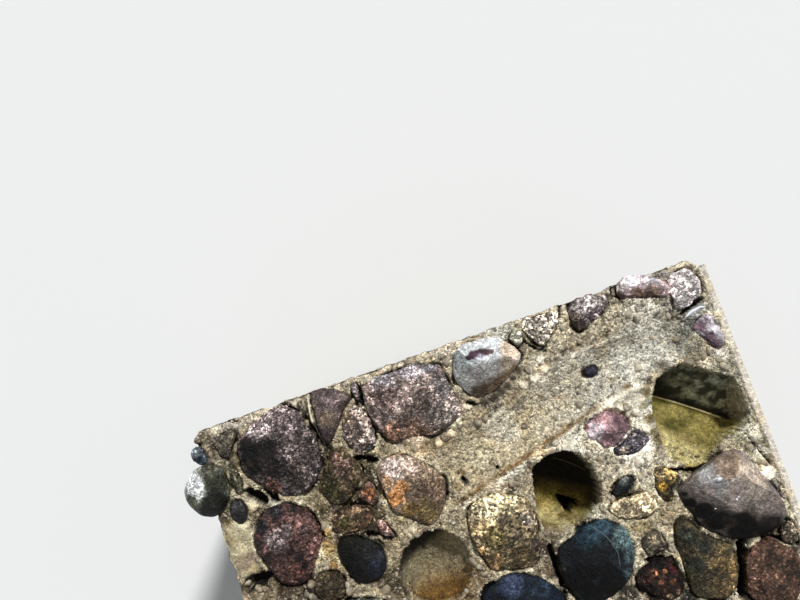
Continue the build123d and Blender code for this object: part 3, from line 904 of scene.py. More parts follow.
def piece_from(form: bmesh.types.BMesh, name: str) -> bpy.types.Object:
    """Turn a worked form into a piece of the scene.

    Args:
        form: The form, which is used up.
        name: The piece's name.

    Returns:
        The new object, at the origin.
    """
    mesh = bpy.data.meshes.new(name)
    form.to_mesh(mesh)
    form.free()
    piece = bpy.data.objects.new(name, mesh)
    bpy.context.scene.collection.objects.link(piece)
    return piece


def gather(part: bmesh.types.BMesh, form: bmesh.types.BMesh) -> None:
    """Add a part to a form, and empty it."""
    scrap = bpy.data.meshes.new("scrap")
    part.to_mesh(scrap)
    form.from_mesh(scrap)
    bpy.data.meshes.remove(scrap)
    part.clear()


def paint_tones(piece: bpy.types.Object, tones: list[Vector],
                grits: list[float] | None = None) -> None:
    """Keep one tone for each vertex of a piece, and how gritty it is there.

    Args:
        piece: The piece.
        tones: The tones, in the order of the vertices.
        grits: The shares of full grit, all 1 unless given.
    """
    layer = piece.data.attributes.new("tone", "FLOAT_COLOR", "POINT")
    grits = grits or [1.0] * len(tones)
    flat = [value for tone, grit in zip(tones, grits) for value in (*tone, grit)]
    layer.data.foreach_set("color", flat)


# Limits for a stone's skin: how far it sinks and stands out, and how far painted shade in its pits
# and painted light on its lumps may go.
SKIN_LIFTS = (-0.012, 0.0035)
SKIN_SHADES = (0.35, 1.6)

# A stone smaller than this has a coarser mesh. Every broken edge is worn by this share.
SMALL_STONE = 0.03
WEAR = 0.16


@dataclass
class SetStone:
    """One boulder or cobble in its socket: its place, read from its solid, and its look."""

    node: str
    look: StoneLook
    outline: Outline = field(init=False)
    level: float = field(init=False)
    proud: float = field(init=False)
    bed: float = field(init=False)
    lean: Vector = field(init=False)

    def __post_init__(self) -> None:
        """Read the widest ring, the top and the underside of the stone's solid."""
        rings: dict[float, dict[tuple[float, float], Vector]] = {}
        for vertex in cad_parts[self.node].data.vertices:
            ring = rings.setdefault(round(vertex.co.z, 4), {})
            ring[(round(vertex.co.x, 4), round(vertex.co.y, 4))] = vertex.co.xy
        widest = max(rings, key=lambda height: self._spread(list(rings[height].values())))
        corners = list(rings[widest].values())
        middle = sum(corners, Vector((0.0, 0.0))) / len(corners)
        corners.sort(key=lambda corner: math.atan2(corner.y - middle.y, corner.x - middle.x))
        self.outline = Outline(corners, self.look.rounds)
        top = list(rings[max(rings)].values())
        self.lean = sum(top, Vector((0.0, 0.0))) / len(top) - middle
        self.level = widest
        self.proud = max(rings) - widest
        self.bed = widest - min(rings)

    @staticmethod
    def _spread(ring: list[Vector]) -> float:
        """How far a ring's corners lie from their middle, added up."""
        middle = sum(ring, Vector((0.0, 0.0))) / len(ring)
        return sum((corner - middle).length for corner in ring) / len(ring)

    @staticmethod
    def _spare(low: Vector, high: Vector) -> float:
        """How far the skin may stand out sideways: nothing for a stone over the block's edge."""
        inside = low.x > -END and abs(low.y) < SIDE and high.y < SIDE
        return 0.003 if inside and high.x < END else 0.0

    @property
    def seed(self) -> float:
        """A number of its own for each stone."""
        return (sum(ord(letter) * (place + 3) for place, letter in enumerate(self.node)) % 97) / 7

    def _facets(self) -> list[Break]:
        """The stone's own broken faces, and small random ones, each lighter or darker by painted
        light.
        """
        chance = random.Random(self.node)
        small = [
            Break(
                chance.uniform(-180, 180), chance.uniform(28, 80), chance.uniform(0.80, 0.95),
                chance.uniform(0.68, 1.34))
            for _ in range(self.look.chips)]
        return list(self.look.breaks) + small

    def build(self, material: bpy.types.Material) -> bpy.types.Object:
        """Shape, paint and seat the stone.

        Args:
            material: The finish of its kind.

        Returns:
            The finished stone, which stands for its solid.
        """
        form = bmesh.new()
        small = self.outline.breadth < SMALL_STONE
        rounds = 6 if self.look.fine else 4 if small else 5
        bmesh.ops.create_icosphere(form, subdivisions=rounds, radius=1.0)
        facets = self._facets()
        square = self.look.shoulder
        shades = []
        for vertex in form.verts:
            shade = 1.0
            point = vertex.co
            flat = math.hypot(point.x, point.y)
            point = point / (flat ** square + abs(point.z) ** square) ** (1 / square)
            if point.z > 0:
                for facet in facets:
                    whole, point = point, facet.cut(point)
                    if point is not whole:
                        shade = facet.shade
            vertex.co = self._placed(point)
            shades.append(shade)
        bmesh.ops.smooth_vert(
            form, verts=form.verts, factor=WEAR, use_axis_x=True, use_axis_y=True, use_axis_z=True)
        form.normal_update()
        seed = self.seed
        low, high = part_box(self.node)
        spare = self._spare(low, high)
        base = paint(*self.look.tone)
        tones = []
        for vertex, shade in zip(form.verts, shades):
            lift = self.look.surface.lift(vertex.co, seed)
            tone = base
            for patch in self.look.patches:
                tone = patch.mark(tone, vertex.co)
            # Painted light on facets turned to the sun and painted shade on those turned away, and
            # painted shade in the pits with painted light on the lumps.
            tone = tone * shade * held(1 + self.look.pit_shading * lift, *SKIN_SHADES)
            # Painted shade on the side turned away from the light.
            painted_shade = ease(0.12, 0.62, vertex.normal.dot(AWAY_FROM_SUN) + 0.15 * lift / 0.004)
            tones.append(tone * (1 - painted_shade * (1 - self.look.painted_shade)))
            vertex.co += vertex.normal * held(lift, *SKIN_LIFTS)
            vertex.co.z = min(vertex.co.z, high.z)
            vertex.co.x = held(vertex.co.x, low.x - spare, high.x + spare)
            vertex.co.y = held(vertex.co.y, low.y - spare, high.y + spare)
        piece = piece_from(form, f"set_{self.node}")
        paint_tones(piece, tones, [self.look.grit] * len(tones))
        dress(piece, material)
        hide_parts(self.node)
        return piece

    def _placed(self, point: Vector) -> Vector:
        """Take a point of the unit stone to its place on the face."""
        reach = self.outline.reach(math.atan2(point.y, point.x))
        rise = max(point.z, 0.0)
        deep = self.proud if point.z > 0 else self.bed
        return Vector((
            self.outline.middle.x + point.x * reach + self.lean.x * rise,
            self.outline.middle.y + point.y * reach + self.lean.y * rise,
            self.level + point.z * deep,
        ))


@dataclass(frozen=True)
class Joint:
    """A joint washed out of the mortar: its two ends, breadth and depth, in millimetres."""

    start: tuple[float, float]
    end: tuple[float, float]
    breadth: float
    depth: float

    def sink(self, x: float, y: float) -> float:
        """How deep the joint is at a place, in metres."""
        share, away = beside(x, y, self.start, self.end)
        half = self.breadth * MM / 2
        if away > 1.6 * half:
            return 0.0
        half *= 1 + 0.55 * wander(x, y, 0, 0.02, self.start[0]) - 0.45 * abs(2 * share - 1) ** 3
        return self.depth * MM * (1 - ease(0.5 * half, 1.15 * half, away))


@dataclass(frozen=True)
class Ridge:
    """A thin proud line of mortar or mineral: points, breadth, tone and rise, in millimetres."""

    points: tuple[tuple[float, float], ...]
    breadth: float
    tone: tuple[float, float, float]
    proud: float = 1.5


# Colours of the mortar, of its stains and of what grows in the hollows, and painted light and
# painted shade for its edges, gaps, joints and hollows.
LEFT_MORTAR = paint(0.58, 0.52, 0.41)
RIGHT_MORTAR = paint(0.80, 0.75, 0.64)
LEFT_APRON = paint(0.76, 0.70, 0.58)
RIGHT_APRON = paint(0.80, 0.78, 0.72)
APRON_GRIME = paint(0.58, 0.54, 0.46)
# Painted shade along the broken edge above the apron.
BROW_SHADE = paint(0.50, 0.43, 0.32)
FAR_RIM = paint(0.86, 0.81, 0.72)
BEAD_CREST = paint(0.96, 0.93, 0.85)
SEAM = paint(0.48, 0.36, 0.19)
FIN = paint(0.90, 0.86, 0.79)
CAST_BAND = paint(0.74, 0.69, 0.56)
COLLAR = paint(0.96, 0.91, 0.78)
# Dirt and painted shade at the foot of the stones, and painted shade in their gaps and in the
# washed joints.
GAP_DIRT_AND_SHADE = paint(0.24, 0.20, 0.13)
CREVICE_SHADE = paint(0.06, 0.05, 0.04)
JOINT_SHADE = paint(0.08, 0.065, 0.05)
CAST_SIDE = paint(0.62, 0.58, 0.48)
SIDE_CLOUD = paint(0.46, 0.43, 0.35)
GREEN_FOOT = paint(0.36, 0.36, 0.25)
PIT_OCHRE = paint(0.58, 0.52, 0.28)
# Painted light on the deep hollow's lower walls.
PIT_LIT = paint(0.74, 0.69, 0.48)
PIT_OLIVE = paint(0.48, 0.41, 0.22)
PIT_SHADE = paint(0.10, 0.085, 0.05)
# Painted shade in the deep hollow's hole.
PIT_HOLE_SHADE = paint(0.03, 0.03, 0.02)
WALL_DARK = paint(0.24, 0.24, 0.18)
WALL_PALE = paint(0.68, 0.68, 0.58)
WALL_SHADE = paint(0.05, 0.045, 0.03)
FLOOR_OCHRE = paint(0.54, 0.49, 0.27)
FLOOR_PALE = paint(0.74, 0.69, 0.49)
FLOOR_OLIVE = paint(0.34, 0.32, 0.13)
BOWL_LEFT = paint(0.50, 0.46, 0.36)
BOWL_RIGHT = paint(0.66, 0.60, 0.48)
BOWL_BROWN = paint(0.42, 0.31, 0.15)
BOWL_SHADE = paint(0.04, 0.035, 0.025)
BOWL_RIM = paint(0.20, 0.17, 0.12)


@dataclass
class WornFace:
    """The stony face's mortar: where it stands, sinks and changes tone."""

    stones: list[SetStone]
    trough_start: tuple[float, float] = (-35.0, 170.0)
    trough_end: tuple[float, float] = (585.0, 318.0)
    trough_breadth: float = 152.0
    trough_depth: float = 28.0
    bead_start: tuple[float, float] = (-85.0, 74.0)
    bead_end: tuple[float, float] = (462.0, 218.0)
    bead_breadth: float = 46.0
    bead_proud: float = 11.0
    bowl: tuple[float, float, float, float] = (-220.0, -64.0, 99.0, 92.0)
    valley_start: tuple[float, float] = (523.0, 172.0)
    valley_end: tuple[float, float] = (702.0, 35.0)
    valley_depth: float = 135.0
    floor_reach: float = 171.0
    wall_reach: float = 141.0
    pit_depth: float = 190.0
    pit_hole_depth: float = 240.0
    apron_wear: float = 0.86
    collar_height: float = 0.009
    crevice_depth: float = 0.022
    rim_wear: float = 0.009
    socket_share: float = 0.965
    socket_gap: float = 0.001
    # Painted shade in the mortar's low parts and painted light on its lumps: how strong, and its
    # limits.
    relief_shading: float = 54.0
    relief_shading_range: tuple[float, float] = (0.42, 1.5)
    finest_joint: float = 0.0005
    squares_a_metre: int = 10
    bare_spots: tuple[tuple[float, float, float], ...] = (
        (430, 205, 30), (460, 170, 30), (465, 110, 26), (-590, 228, 30), (700, 380, 26),
        (404, 62, 34), (392, 184, 28), (330, 112, 24), (236, 128, 20), (724, -20, 18),
        (724, -120, 20), (724, 236, 18), (494, 165, 16), (485, 23, 14), (710, 22, 16),
        (188, 125, 14), (206, 148, 12), (176, 367, 15), (154, 353, 14), (134, 338, 15),
        (111, 330, 14), (88, 321, 15), (54, 318, 13), (246, 376, 13), (247, 349, 14),
        (211, 331, 14), (177, 325, 13), (10, 319, 12), (-24, 289, 13), (-59, 266, 13),
        (-99, 252, 13), (-64, 126, 10), (472, 162, 16), (470, 84, 16), (488, 196, 18),
        (-245, 52, 14), (-655, 262, 26))
    joints: tuple[Joint, ...] = (
        Joint((-734, 54), (-664, 60), 38, 50), Joint((-650, 302), (-611, 255), 32, 44),
        Joint((-597, 280), (-578, 248), 24, 34), Joint((-336, 288), (-278, 260), 22, 40),
        Joint((660, 366), (732, 388), 15, 38), Joint((93, -112), (92, -244), 19, 62),
        Joint((590, -262), (540, -402), 34, 70), Joint((-428, 440), (-402, 346), 12, 30),
        Joint((-481, 496), (-447, 451), 10, 26), Joint((474, -24), (562, -56), 13, 32),
        Joint((708, 0), (742, -101), 8, 22), Joint((681, -287), (733, -318), 20, 50),
        Joint((716, -146), (741, -196), 14, 34), Joint((396, -250), (372, -346), 20, 60),
        Joint((330, -232), (372, -238), 14, 40), Joint((-255, 468), (-268, 420), 10, 24),
        Joint((-372, 84), (-344, 70), 20, 30), Joint((10, 330), (36, 318), 14, 22),
        Joint((218, 440), (244, 408), 10, 26), Joint((244, 408), (270, 392), 8, 20),
        Joint((334, 462), (350, 500), 8, 24), Joint((492, 470), (506, 500), 10, 26),
        Joint((-69, 130), (-68, 130), 30, 52), Joint((33, 132), (34, 132), 18, 44))

    def __post_init__(self) -> None:
        """Set out the hollows, and sort the stones into squares for quick finding."""
        self.wedge = outline_of((
            (487, 140), (503, 180), (528, 218), (560, 229), (602, 239), (642, 220), (676, 190),
            (718, 167), (737, 152), (741, 100), (741, 50), (712, 18), (648, 0), (613, -18),
            (580, -46), (529, -34), (490, -8), (484, 45)), 0)
        self.pit = outline_of((
            (122, 100), (163, 117), (211, 120), (252, 99), (276, 53), (284, 0), (268, -46),
            (227, -76), (185, -87), (128, -83), (95, -68), (92, -30), (106, 40)), 0)
        self.pit_hole = outline_of(((176, -22), (230, -58), (186, -75)), 0)
        self._squares: dict[tuple[int, int], list[SetStone]] = {}
        for stone in self.stones:
            low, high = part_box(stone.node)
            for column in self._squares_over(low.x, high.x):
                for row in self._squares_over(low.y, high.y):
                    self._squares.setdefault((column, row), []).append(stone)

    def _squares_over(self, low: float, high: float) -> range:
        """The squares from one limit to another, with a margin."""
        margin = 0.04
        count = self.squares_a_metre
        return range(math.floor((low - margin) * count), math.ceil((high + margin) * count))

    def nearest(self, x: float, y: float) -> tuple[SetStone | None, float, float]:
        """Find the stone that a place is in or nearest to.

        Args:
            x: Place along the face.
            y: Place across the face.

        Returns:
            The stone, the place's share of its outline, and its distance beyond it in metres.
        """
        far = 9.0
        best, best_share, best_gap = None, far, far
        count = self.squares_a_metre
        square = (math.floor(x * count), math.floor(y * count))
        for stone in self._squares.get(square, []):
            share = stone.outline.share(x, y)
            gap = (share - 1) * (Vector((x, y)) - stone.outline.middle).length / max(share, 1e-6)
            if gap < best_gap:
                best, best_share, best_gap = stone, share, gap
        return best, best_share, best_gap

    def trough_place(self, x: float, y: float) -> tuple[float, float]:
        """A place along the trough's line, and across it towards the far edge, in metres."""
        return by_line(x, y, self.trough_start, self.trough_end)

    def trough_share(self, x: float, y: float) -> float:
        """How deep in the trough a place lies: 0 outside and 1 on its line."""
        along, across = self.trough_place(x, y)
        run = (Vector(self.trough_end) - Vector(self.trough_start)).length * MM
        half = self.trough_breadth * MM / 2
        beyond = max(-along, along - run, 0.0)
        out = math.hypot(across / half, beyond / (half * 1.15))
        return max(0.0, 1 - out * out)

    @staticmethod
    def _brow(along: float) -> float:
        """How far the apron reaches above the trough's line."""
        return (76 + 48 * swell(along, 0.36, 0.17)) * MM

    def apron_share(self, x: float, y: float) -> float:
        """How far a place lies on the worn apron: the trough and the smooth slope above it."""
        along, across = self.trough_place(x, y)
        ragged = 0.012 * wander(x, y, 0, 0.035, 61) + 0.006 * wander(x, y, 0, 0.012, 62)
        brow = self._brow(along) + ragged
        ends = ease(-0.09, -0.05, along) * (1 - ease(0.63, 0.72, along + 0.3 * across))
        return ends * ease(-0.078, -0.07, across) * (1 - ease(brow - 0.006, brow + 0.002, across))

    def brow_share(self, x: float, y: float) -> float:
        """How near a place lies to the broken edge above the apron."""
        along, across = self.trough_place(x, y)
        ends = ease(0.0, 0.1, along) * (1 - ease(0.5, 0.66, along))
        return ends * swell(across - self._brow(along), -0.008, 0.009)

    def bead_across(self, x: float, y: float) -> float:
        """How far a place lies from the bead's line, towards the trough, in metres."""
        return by_line(x, y, self.bead_start, self.bead_end)[1]

    def bead_share(self, x: float, y: float) -> float:
        """How high on the bead of mortar a place lies: 0 off it and 1 on its line."""
        away = beside(x, y, self.bead_start, self.bead_end)[1] / (self.bead_breadth * MM / 2)
        return max(0.0, 1 - away * away)

    def valley_away(self, x: float, y: float) -> float:
        """How far a place lies from the wedge hollow's lowest line, towards its upper wall."""
        start, end = Vector(self.valley_start) * MM, Vector(self.valley_end) * MM
        side = (end - start).orthogonal().normalized()
        return (Vector((x, y)) - start).dot(side if side.y >= 0 else -side)

    def hollow(self, x: float, y: float) -> float:
        """How deep the three hollows are at a place, in metres."""
        sink = 0.0
        bowl_x, bowl_y, bowl_reach, bowl_depth = self.bowl
        out = math.hypot(x - bowl_x * MM, y - bowl_y * MM) / (bowl_reach * MM)
        out *= 1 + 0.02 * wander(x, y, 0, 0.05, 4)
        if out < 1:
            sink = bowl_depth * MM * math.sqrt(1 - out * out)
        out = self.pit.share(x, y)
        if out < 1:
            power = 3.4
            sink = max(sink, self.pit_depth * MM * (1 - out ** power) ** (1 / power))
            if self.pit_hole.share(x, y) < 1:
                sink = self.pit_hole_depth * MM
        out = self.wedge.share(x, y)
        if out < 1:
            away = self.valley_away(x, y)
            reach = self.wall_reach if away > 0 else self.floor_reach
            deep = self.valley_depth * MM * (1 - abs(away) / (reach * MM))
            sink = max(sink, max(deep, 0.004) * (1 - ease(0.955, 0.995, out)))
        return sink

    def is_bare(self, x: float, y: float) -> bool:
        """Whether a place lies on smooth paste without pebbles."""
        return any(
            math.hypot(x - bare_x * MM, y - bare_y * MM) < reach * MM
            for bare_x, bare_y, reach in self.bare_spots)

    def band_share(self, x: float, y: float) -> float:
        """How far a place lies on the smooth cast band at the left end or on the grout fin."""
        fin = ease(0.748, 0.752, x)
        band = (1 - ease(-0.688, -0.672, x + 0.1 * (0.15 - y))) * ease(0.07, 0.09, y)
        return max(fin, band * (1 - ease(0.222, 0.24, y)))

    def relief(self, x: float, y: float) -> float:
        """Lumps and pits of the broken mortar at a place, in metres."""
        lumps = 0.004 * wander(x, y, 0, 0.09, 1) + 0.0055 * wander(x, y, 0, 0.035, 2)
        lumps += 0.0045 * wander(x, y, 0, 0.014, 3)
        cell = noise.voronoi(Vector((x / 0.019, y / 0.019, 3.3)))[0][0]
        return lumps + 0.007 * (0.4 - cell)

    def crevice(self, x: float, y: float, gap: float) -> float:
        """How far the mortar has shrunk from a stone: 0 tight and 1 a black gap."""
        if not -0.006 < gap < 0.013:
            return 0.0
        loose = ease(0.02, 0.28, wander(x, y, 0, 0.075, 13))
        return loose * (1 - ease(0.003, 0.009, abs(gap - 0.003)))

    def height(self, x: float, y: float) -> float:
        """Height of the mortar over the plain face, in metres, sockets and hollows included."""
        smooth = max(self.apron_share(x, y), self.band_share(x, y))
        rough = 1 - self.apron_wear * smooth
        stone, share, gap = self.nearest(x, y)
        height = rough * (self.relief(x, y) - 0.004)
        height += 0.0035 * wander(x, y, 0, 0.06, 24) * smooth
        if stone is not None and gap < 0.04:
            collar = rough * swell(gap, 0.007, 0.009) * self.collar_height
            height += collar * (0.6 + 0.8 * wander(x, y, 0, 0.05, 6))
            height -= self.crevice_depth * self.crevice(x, y, gap)
        height -= self.trough_depth * MM * self.trough_share(x, y)
        height += 0.006 * self.brow_share(x, y + 0.014) - 0.003 * self.brow_share(x, y)
        ripple = 0.75 + 0.5 * wander(x, y, 0, 0.06, 8) + 0.25 * wander(x, y, 0, 0.02, 26)
        height += self.bead_proud * MM * self.bead_share(x, y) * ripple
        crown = 0.003 + 0.011 * wander(x, y, 0, 0.05, 17) + 0.006 * wander(x, y, 0, 0.02, 18)
        height += ease(0.448, 0.484, y) * crown
        height -= 0.0016 * smooth * max(0.0, wander(x, y, 0, 0.012, 9))
        sink = self.hollow(x, y)
        if sink > 0.003:
            height = min(height, 0.0) * 0.3 - sink
            height += 0.003 * wander(x, y, 0, 0.03, 5) + 0.0012 * wander(x, y, 0, 0.011, 5)
        for joint in self.joints:
            deep = joint.sink(x, y)
            if deep > self.finest_joint:
                height = min(height, -deep)
        if stone is not None:
            inside = share / self.socket_share
            if inside < 1:
                square = stone.look.shoulder
                socket = stone.level - FACE - stone.bed * (1 - inside ** square) ** (1 / square)
                height = min(height, socket - self.socket_gap)
        edge = min(SIDE - abs(y), END + x)
        worn = self.rim_wear * (1 - ease(0.0, 0.014, edge))
        height -= worn * (1 + 0.8 * wander(x, y, 0, 0.04, 11))
        return height

    def grit(self, place: Vector) -> float:
        """How gritty the mortar is at a place: less on the worn apron, the band and the fin."""
        x, y, z = place
        if z < FACE - 0.04:
            return 0.6
        bare = 0.45 if self.is_bare(x, y) else 0.0
        return 1 - max(bare, 0.1 * self.apron_share(x, y) + 0.55 * self.band_share(x, y))

    def tone(self, place: Vector) -> Vector:
        """Tone of the mortar at a place of the mesh."""
        x, y, z = place
        skin = 0.03
        if z < FACE - skin and (abs(x) > END - skin or abs(y) > SIDE - skin):
            return self._side_tone(place)
        tone = LEFT_MORTAR.lerp(RIGHT_MORTAR, ease(-END, END, x))
        for patch in MORTAR_STAINS_AND_SHADE:
            tone = patch.mark(tone, place)
        rim = ease(0.455, 0.475, y + 0.01 * wander(x, y, 0, 0.04, 63))
        tone = tone.lerp(FAR_RIM, 0.8 * rim)
        apron = self.apron_share(x, y)
        along = self.trough_place(x, y)[0]
        worn = LEFT_APRON.lerp(RIGHT_APRON, ease(0.1, 0.5, along))
        grimy = ease(0.05, 0.5, wander(x, y, 0, 0.09, 64))
        tone = tone.lerp(worn.lerp(APRON_GRIME, 0.7 * grimy), apron)
        # Painted shade along the broken edge above the apron.
        tone = tone.lerp(BROW_SHADE, 0.75 * self.brow_share(x, y))
        lip = self.bead_across(x, y) + 0.004 * wander(x, y, 0, 0.03, 65)
        bead = ease(0.05, 0.5, self.bead_share(x, y)) * (1 - ease(-0.002, 0.006, lip))
        tone = tone.lerp(BEAD_CREST, 0.85 * bead)
        seam = swell(lip, 0.010, 0.0065) * min(1.0, 3 * self.bead_share(x, y))
        tone = tone.lerp(SEAM, 0.9 * seam)
        band = self.band_share(x, y)
        tone = tone.lerp(FIN if x > END - 0.01 else CAST_BAND, band)
        stone, _, gap = self.nearest(x, y)
        # Painted shade in the low parts of the mortar and painted light on its lumps, less on the
        # worn apron and band.
        relief = 1 + self.relief_shading * self.relief(x, y) * (1 - 0.8 * max(apron, band))
        if stone is not None and -0.01 < gap < 0.03:
            pale = swell(gap, 0.008, 0.007) * max(0.0, wander(x, y, 0, 0.06, 6) + 0.3)
            tone = tone.lerp(COLLAR, min(1.0, pale * 1.3))
            # Dirt and painted shade at the foot of the stone.
            dirt_and_shade = (1 - ease(-0.002, 0.006, gap)) * max(0.0, 0.5 - wander(x, y, 0, 0.05, 12))
            tone = tone.lerp(GAP_DIRT_AND_SHADE, min(0.85, dirt_and_shade * 1.2))
            # Painted shade in the black gap where the mortar has shrunk.
            tone = tone.lerp(CREVICE_SHADE, 0.95 * self.crevice(x, y, gap))
        for patch in TOP_STAINS_AND_SHADOWS:
            tone = patch.mark(tone, place)
        tone = tone * held(relief, *self.relief_shading_range)
        if self.hollow(x, y) > 0.006:
            tone = self._hollow_tone(place)
        # Painted shade in the washed-out joints, darker the deeper they are.
        for joint in self.joints:
            deep = joint.sink(x, y)
            if deep > 0.004:
                tone = tone.lerp(JOINT_SHADE, min(1.0, deep * 60))
        return tone

    def _side_tone(self, place: Vector) -> Vector:
        """Tone of the cast sides, darker and greener towards the ground."""
        x, y, z = place
        tone = CAST_SIDE.lerp(SIDE_CLOUD, ease(-0.4, 0.6, wander(x, y, z, 0.3, 21)))
        low = 1 - ease(0.08, 0.55, z + 0.1 * wander(x, y, z, 0.2, 22))
        return tone.lerp(GREEN_FOOT, 0.7 * low)

    def _hollow_tone(self, place: Vector) -> Vector:
        """Tone of the hollows' walls: olive and ochre growth below, grey above, with painted light
        and painted shade.
        """
        inside = 1.02
        if self.pit.share(place.x, place.y) < inside:
            return self._pit_tone(place)
        if self.wedge.share(place.x, place.y) < inside:
            return self._wedge_tone(place)
        return self._bowl_tone(place)

    def _pit_tone(self, place: Vector) -> Vector:
        """Tone of the deep hollow: painted light to the lower left, and painted shade above and to
        the right.
        """
        x, y, z = place
        # Painted light on the lower left walls, painted shade above and to the right, and painted
        # shade in the hole.
        up = 0.5 * (x - 0.185) + 0.87 * (y - 0.015)
        right = 0.945 * (x - 0.2) - 0.326 * (y - 0.011)
        tone = PIT_OCHRE.lerp(PIT_LIT, 1 - ease(-0.1, -0.05, up))
        tone = tone.lerp(PIT_OLIVE, ease(-0.2, 0.4, wander(x, y, z, 0.04, 32)))
        shade = max(ease(-0.05, 0.02, up), 0.9 * ease(0.045, 0.075, right))
        tone = PIT_HOLE_SHADE if self.pit_hole.share(x, y) < 1.05 else tone.lerp(PIT_SHADE, shade)
        return tone * (1 + 0.35 * wander(x, y, z, 0.022, 33))

    def _wedge_tone(self, place: Vector) -> Vector:
        """Tone of the wedge hollow: a grey upper wall in shade, and an olive floor."""
        x, y, z = place
        away = self.valley_away(x, y)
        mottle = 1 + 0.3 * wander(x, y, z, 0.018, 34)
        if away > 0.004:
            clouds = wander(x, y, z, 0.03, 35) + 0.6 * wander(x, y, z, 0.012, 36)
            tone = WALL_DARK.lerp(WALL_PALE, ease(-0.35, 0.45, clouds))
            shade = max(1 - ease(0.565, 0.64, x + 0.2 * away), 1 - ease(0.013, 0.034, away))
            return tone.lerp(WALL_SHADE, 0.95 * shade) * mottle
        tone = FLOOR_OCHRE.lerp(FLOOR_PALE, 1 - ease(-0.15, -0.07, away + 0.3 * (x - 0.58)))
        olive = ease(-0.1, 0.5, wander(x, y, z, 0.05, 31)) * (1 - ease(0.0, 0.06, -away - 0.07))
        return tone.lerp(FLOOR_OLIVE, 0.8 * olive) * mottle

    def _bowl_tone(self, place: Vector) -> Vector:
        """Tone of the round hollow, with a crescent of painted shade under its far rim."""
        x, y, z = place
        tone = BOWL_LEFT.lerp(BOWL_RIGHT, ease(-0.2, -0.15, x))
        tone = tone.lerp(BOWL_BROWN, ease(-0.07, -0.14, y))
        tone = tone * (1 + 0.35 * wander(x, y, z, 0.03, 37))
        up = 0.92 * (y + 0.064) - 0.38 * (x + 0.22)
        tone = tone.lerp(BOWL_SHADE, ease(0.036, 0.068, up) * 0.95)
        return tone.lerp(BOWL_RIM, 0.5 * ease(0.02, 0.0, FACE - z))


# Stains of the mortar, and painted shade in the gaps among the near stones, that lie under its worn
# parts.
MORTAR_STAINS_AND_SHADE: tuple[Patch, ...] = stains_and_shading(
    (-640, 440, 60, 42, 39, 30), (-690, 400, 36, 34, 32, 24), (-690, 260, 50, 50, 46, 36),
    (-580, 256, 34, 80, 76, 66), (-470, 200, 40, 52, 46, 34), (-500, 60, 40, 58, 50, 34),
    (-476, 90, 20, 66, 56, 38), (-610, -20, 60, 44, 37, 28), (-700, 60, 50, 44, 38, 30),
    (-420, 350, 40, 44, 38, 30), (-300, 260, 40, 46, 42, 30), (-240, 20, 50, 78, 71, 60),
    (-150, 270, 60, 80, 70, 56), (-20, 330, 30, 70, 62, 54), (40, 480, 60, 74, 69, 62),
    (-80, 240, 60, 54, 48, 38), (-100, 150, 50, 62, 56, 44), (0, 100, 60, 70, 62, 48),
    (300, 180, 90, 62, 54, 40), (384, 280, 40, 66, 52, 40), (380, 30, 90, 90, 86, 77),
    (300, 130, 60, 94, 91, 82), (450, 150, 60, 96, 93, 86), (440, 210, 46, 94, 90, 82),
    (300, 20, 50, 80, 75, 65), (420, 300, 70, 74, 70, 62), (540, 290, 70, 70, 68, 60),
    (640, 340, 60, 64, 62, 53), (560, 400, 80, 70, 67, 60), (710, 330, 60, 72, 72, 70),
    (720, 180, 50, 70, 68, 60), (720, 0, 60, 72, 70, 60), (440, -140, 60, 72, 66, 54),
    (340, -150, 50, 66, 60, 46), (560, -40, 50, 62, 54, 30), (90, -110, 60, 44, 39, 32),
    (330, -220, 60, 46, 42, 34), (330, -370, 70, 26, 21, 18), (640, -270, 60, 24, 22, 16),
    (-120, -120, 60, 54, 46, 34), (-160, -190, 50, 42, 34, 22), (-330, -60, 50, 46, 40, 30))


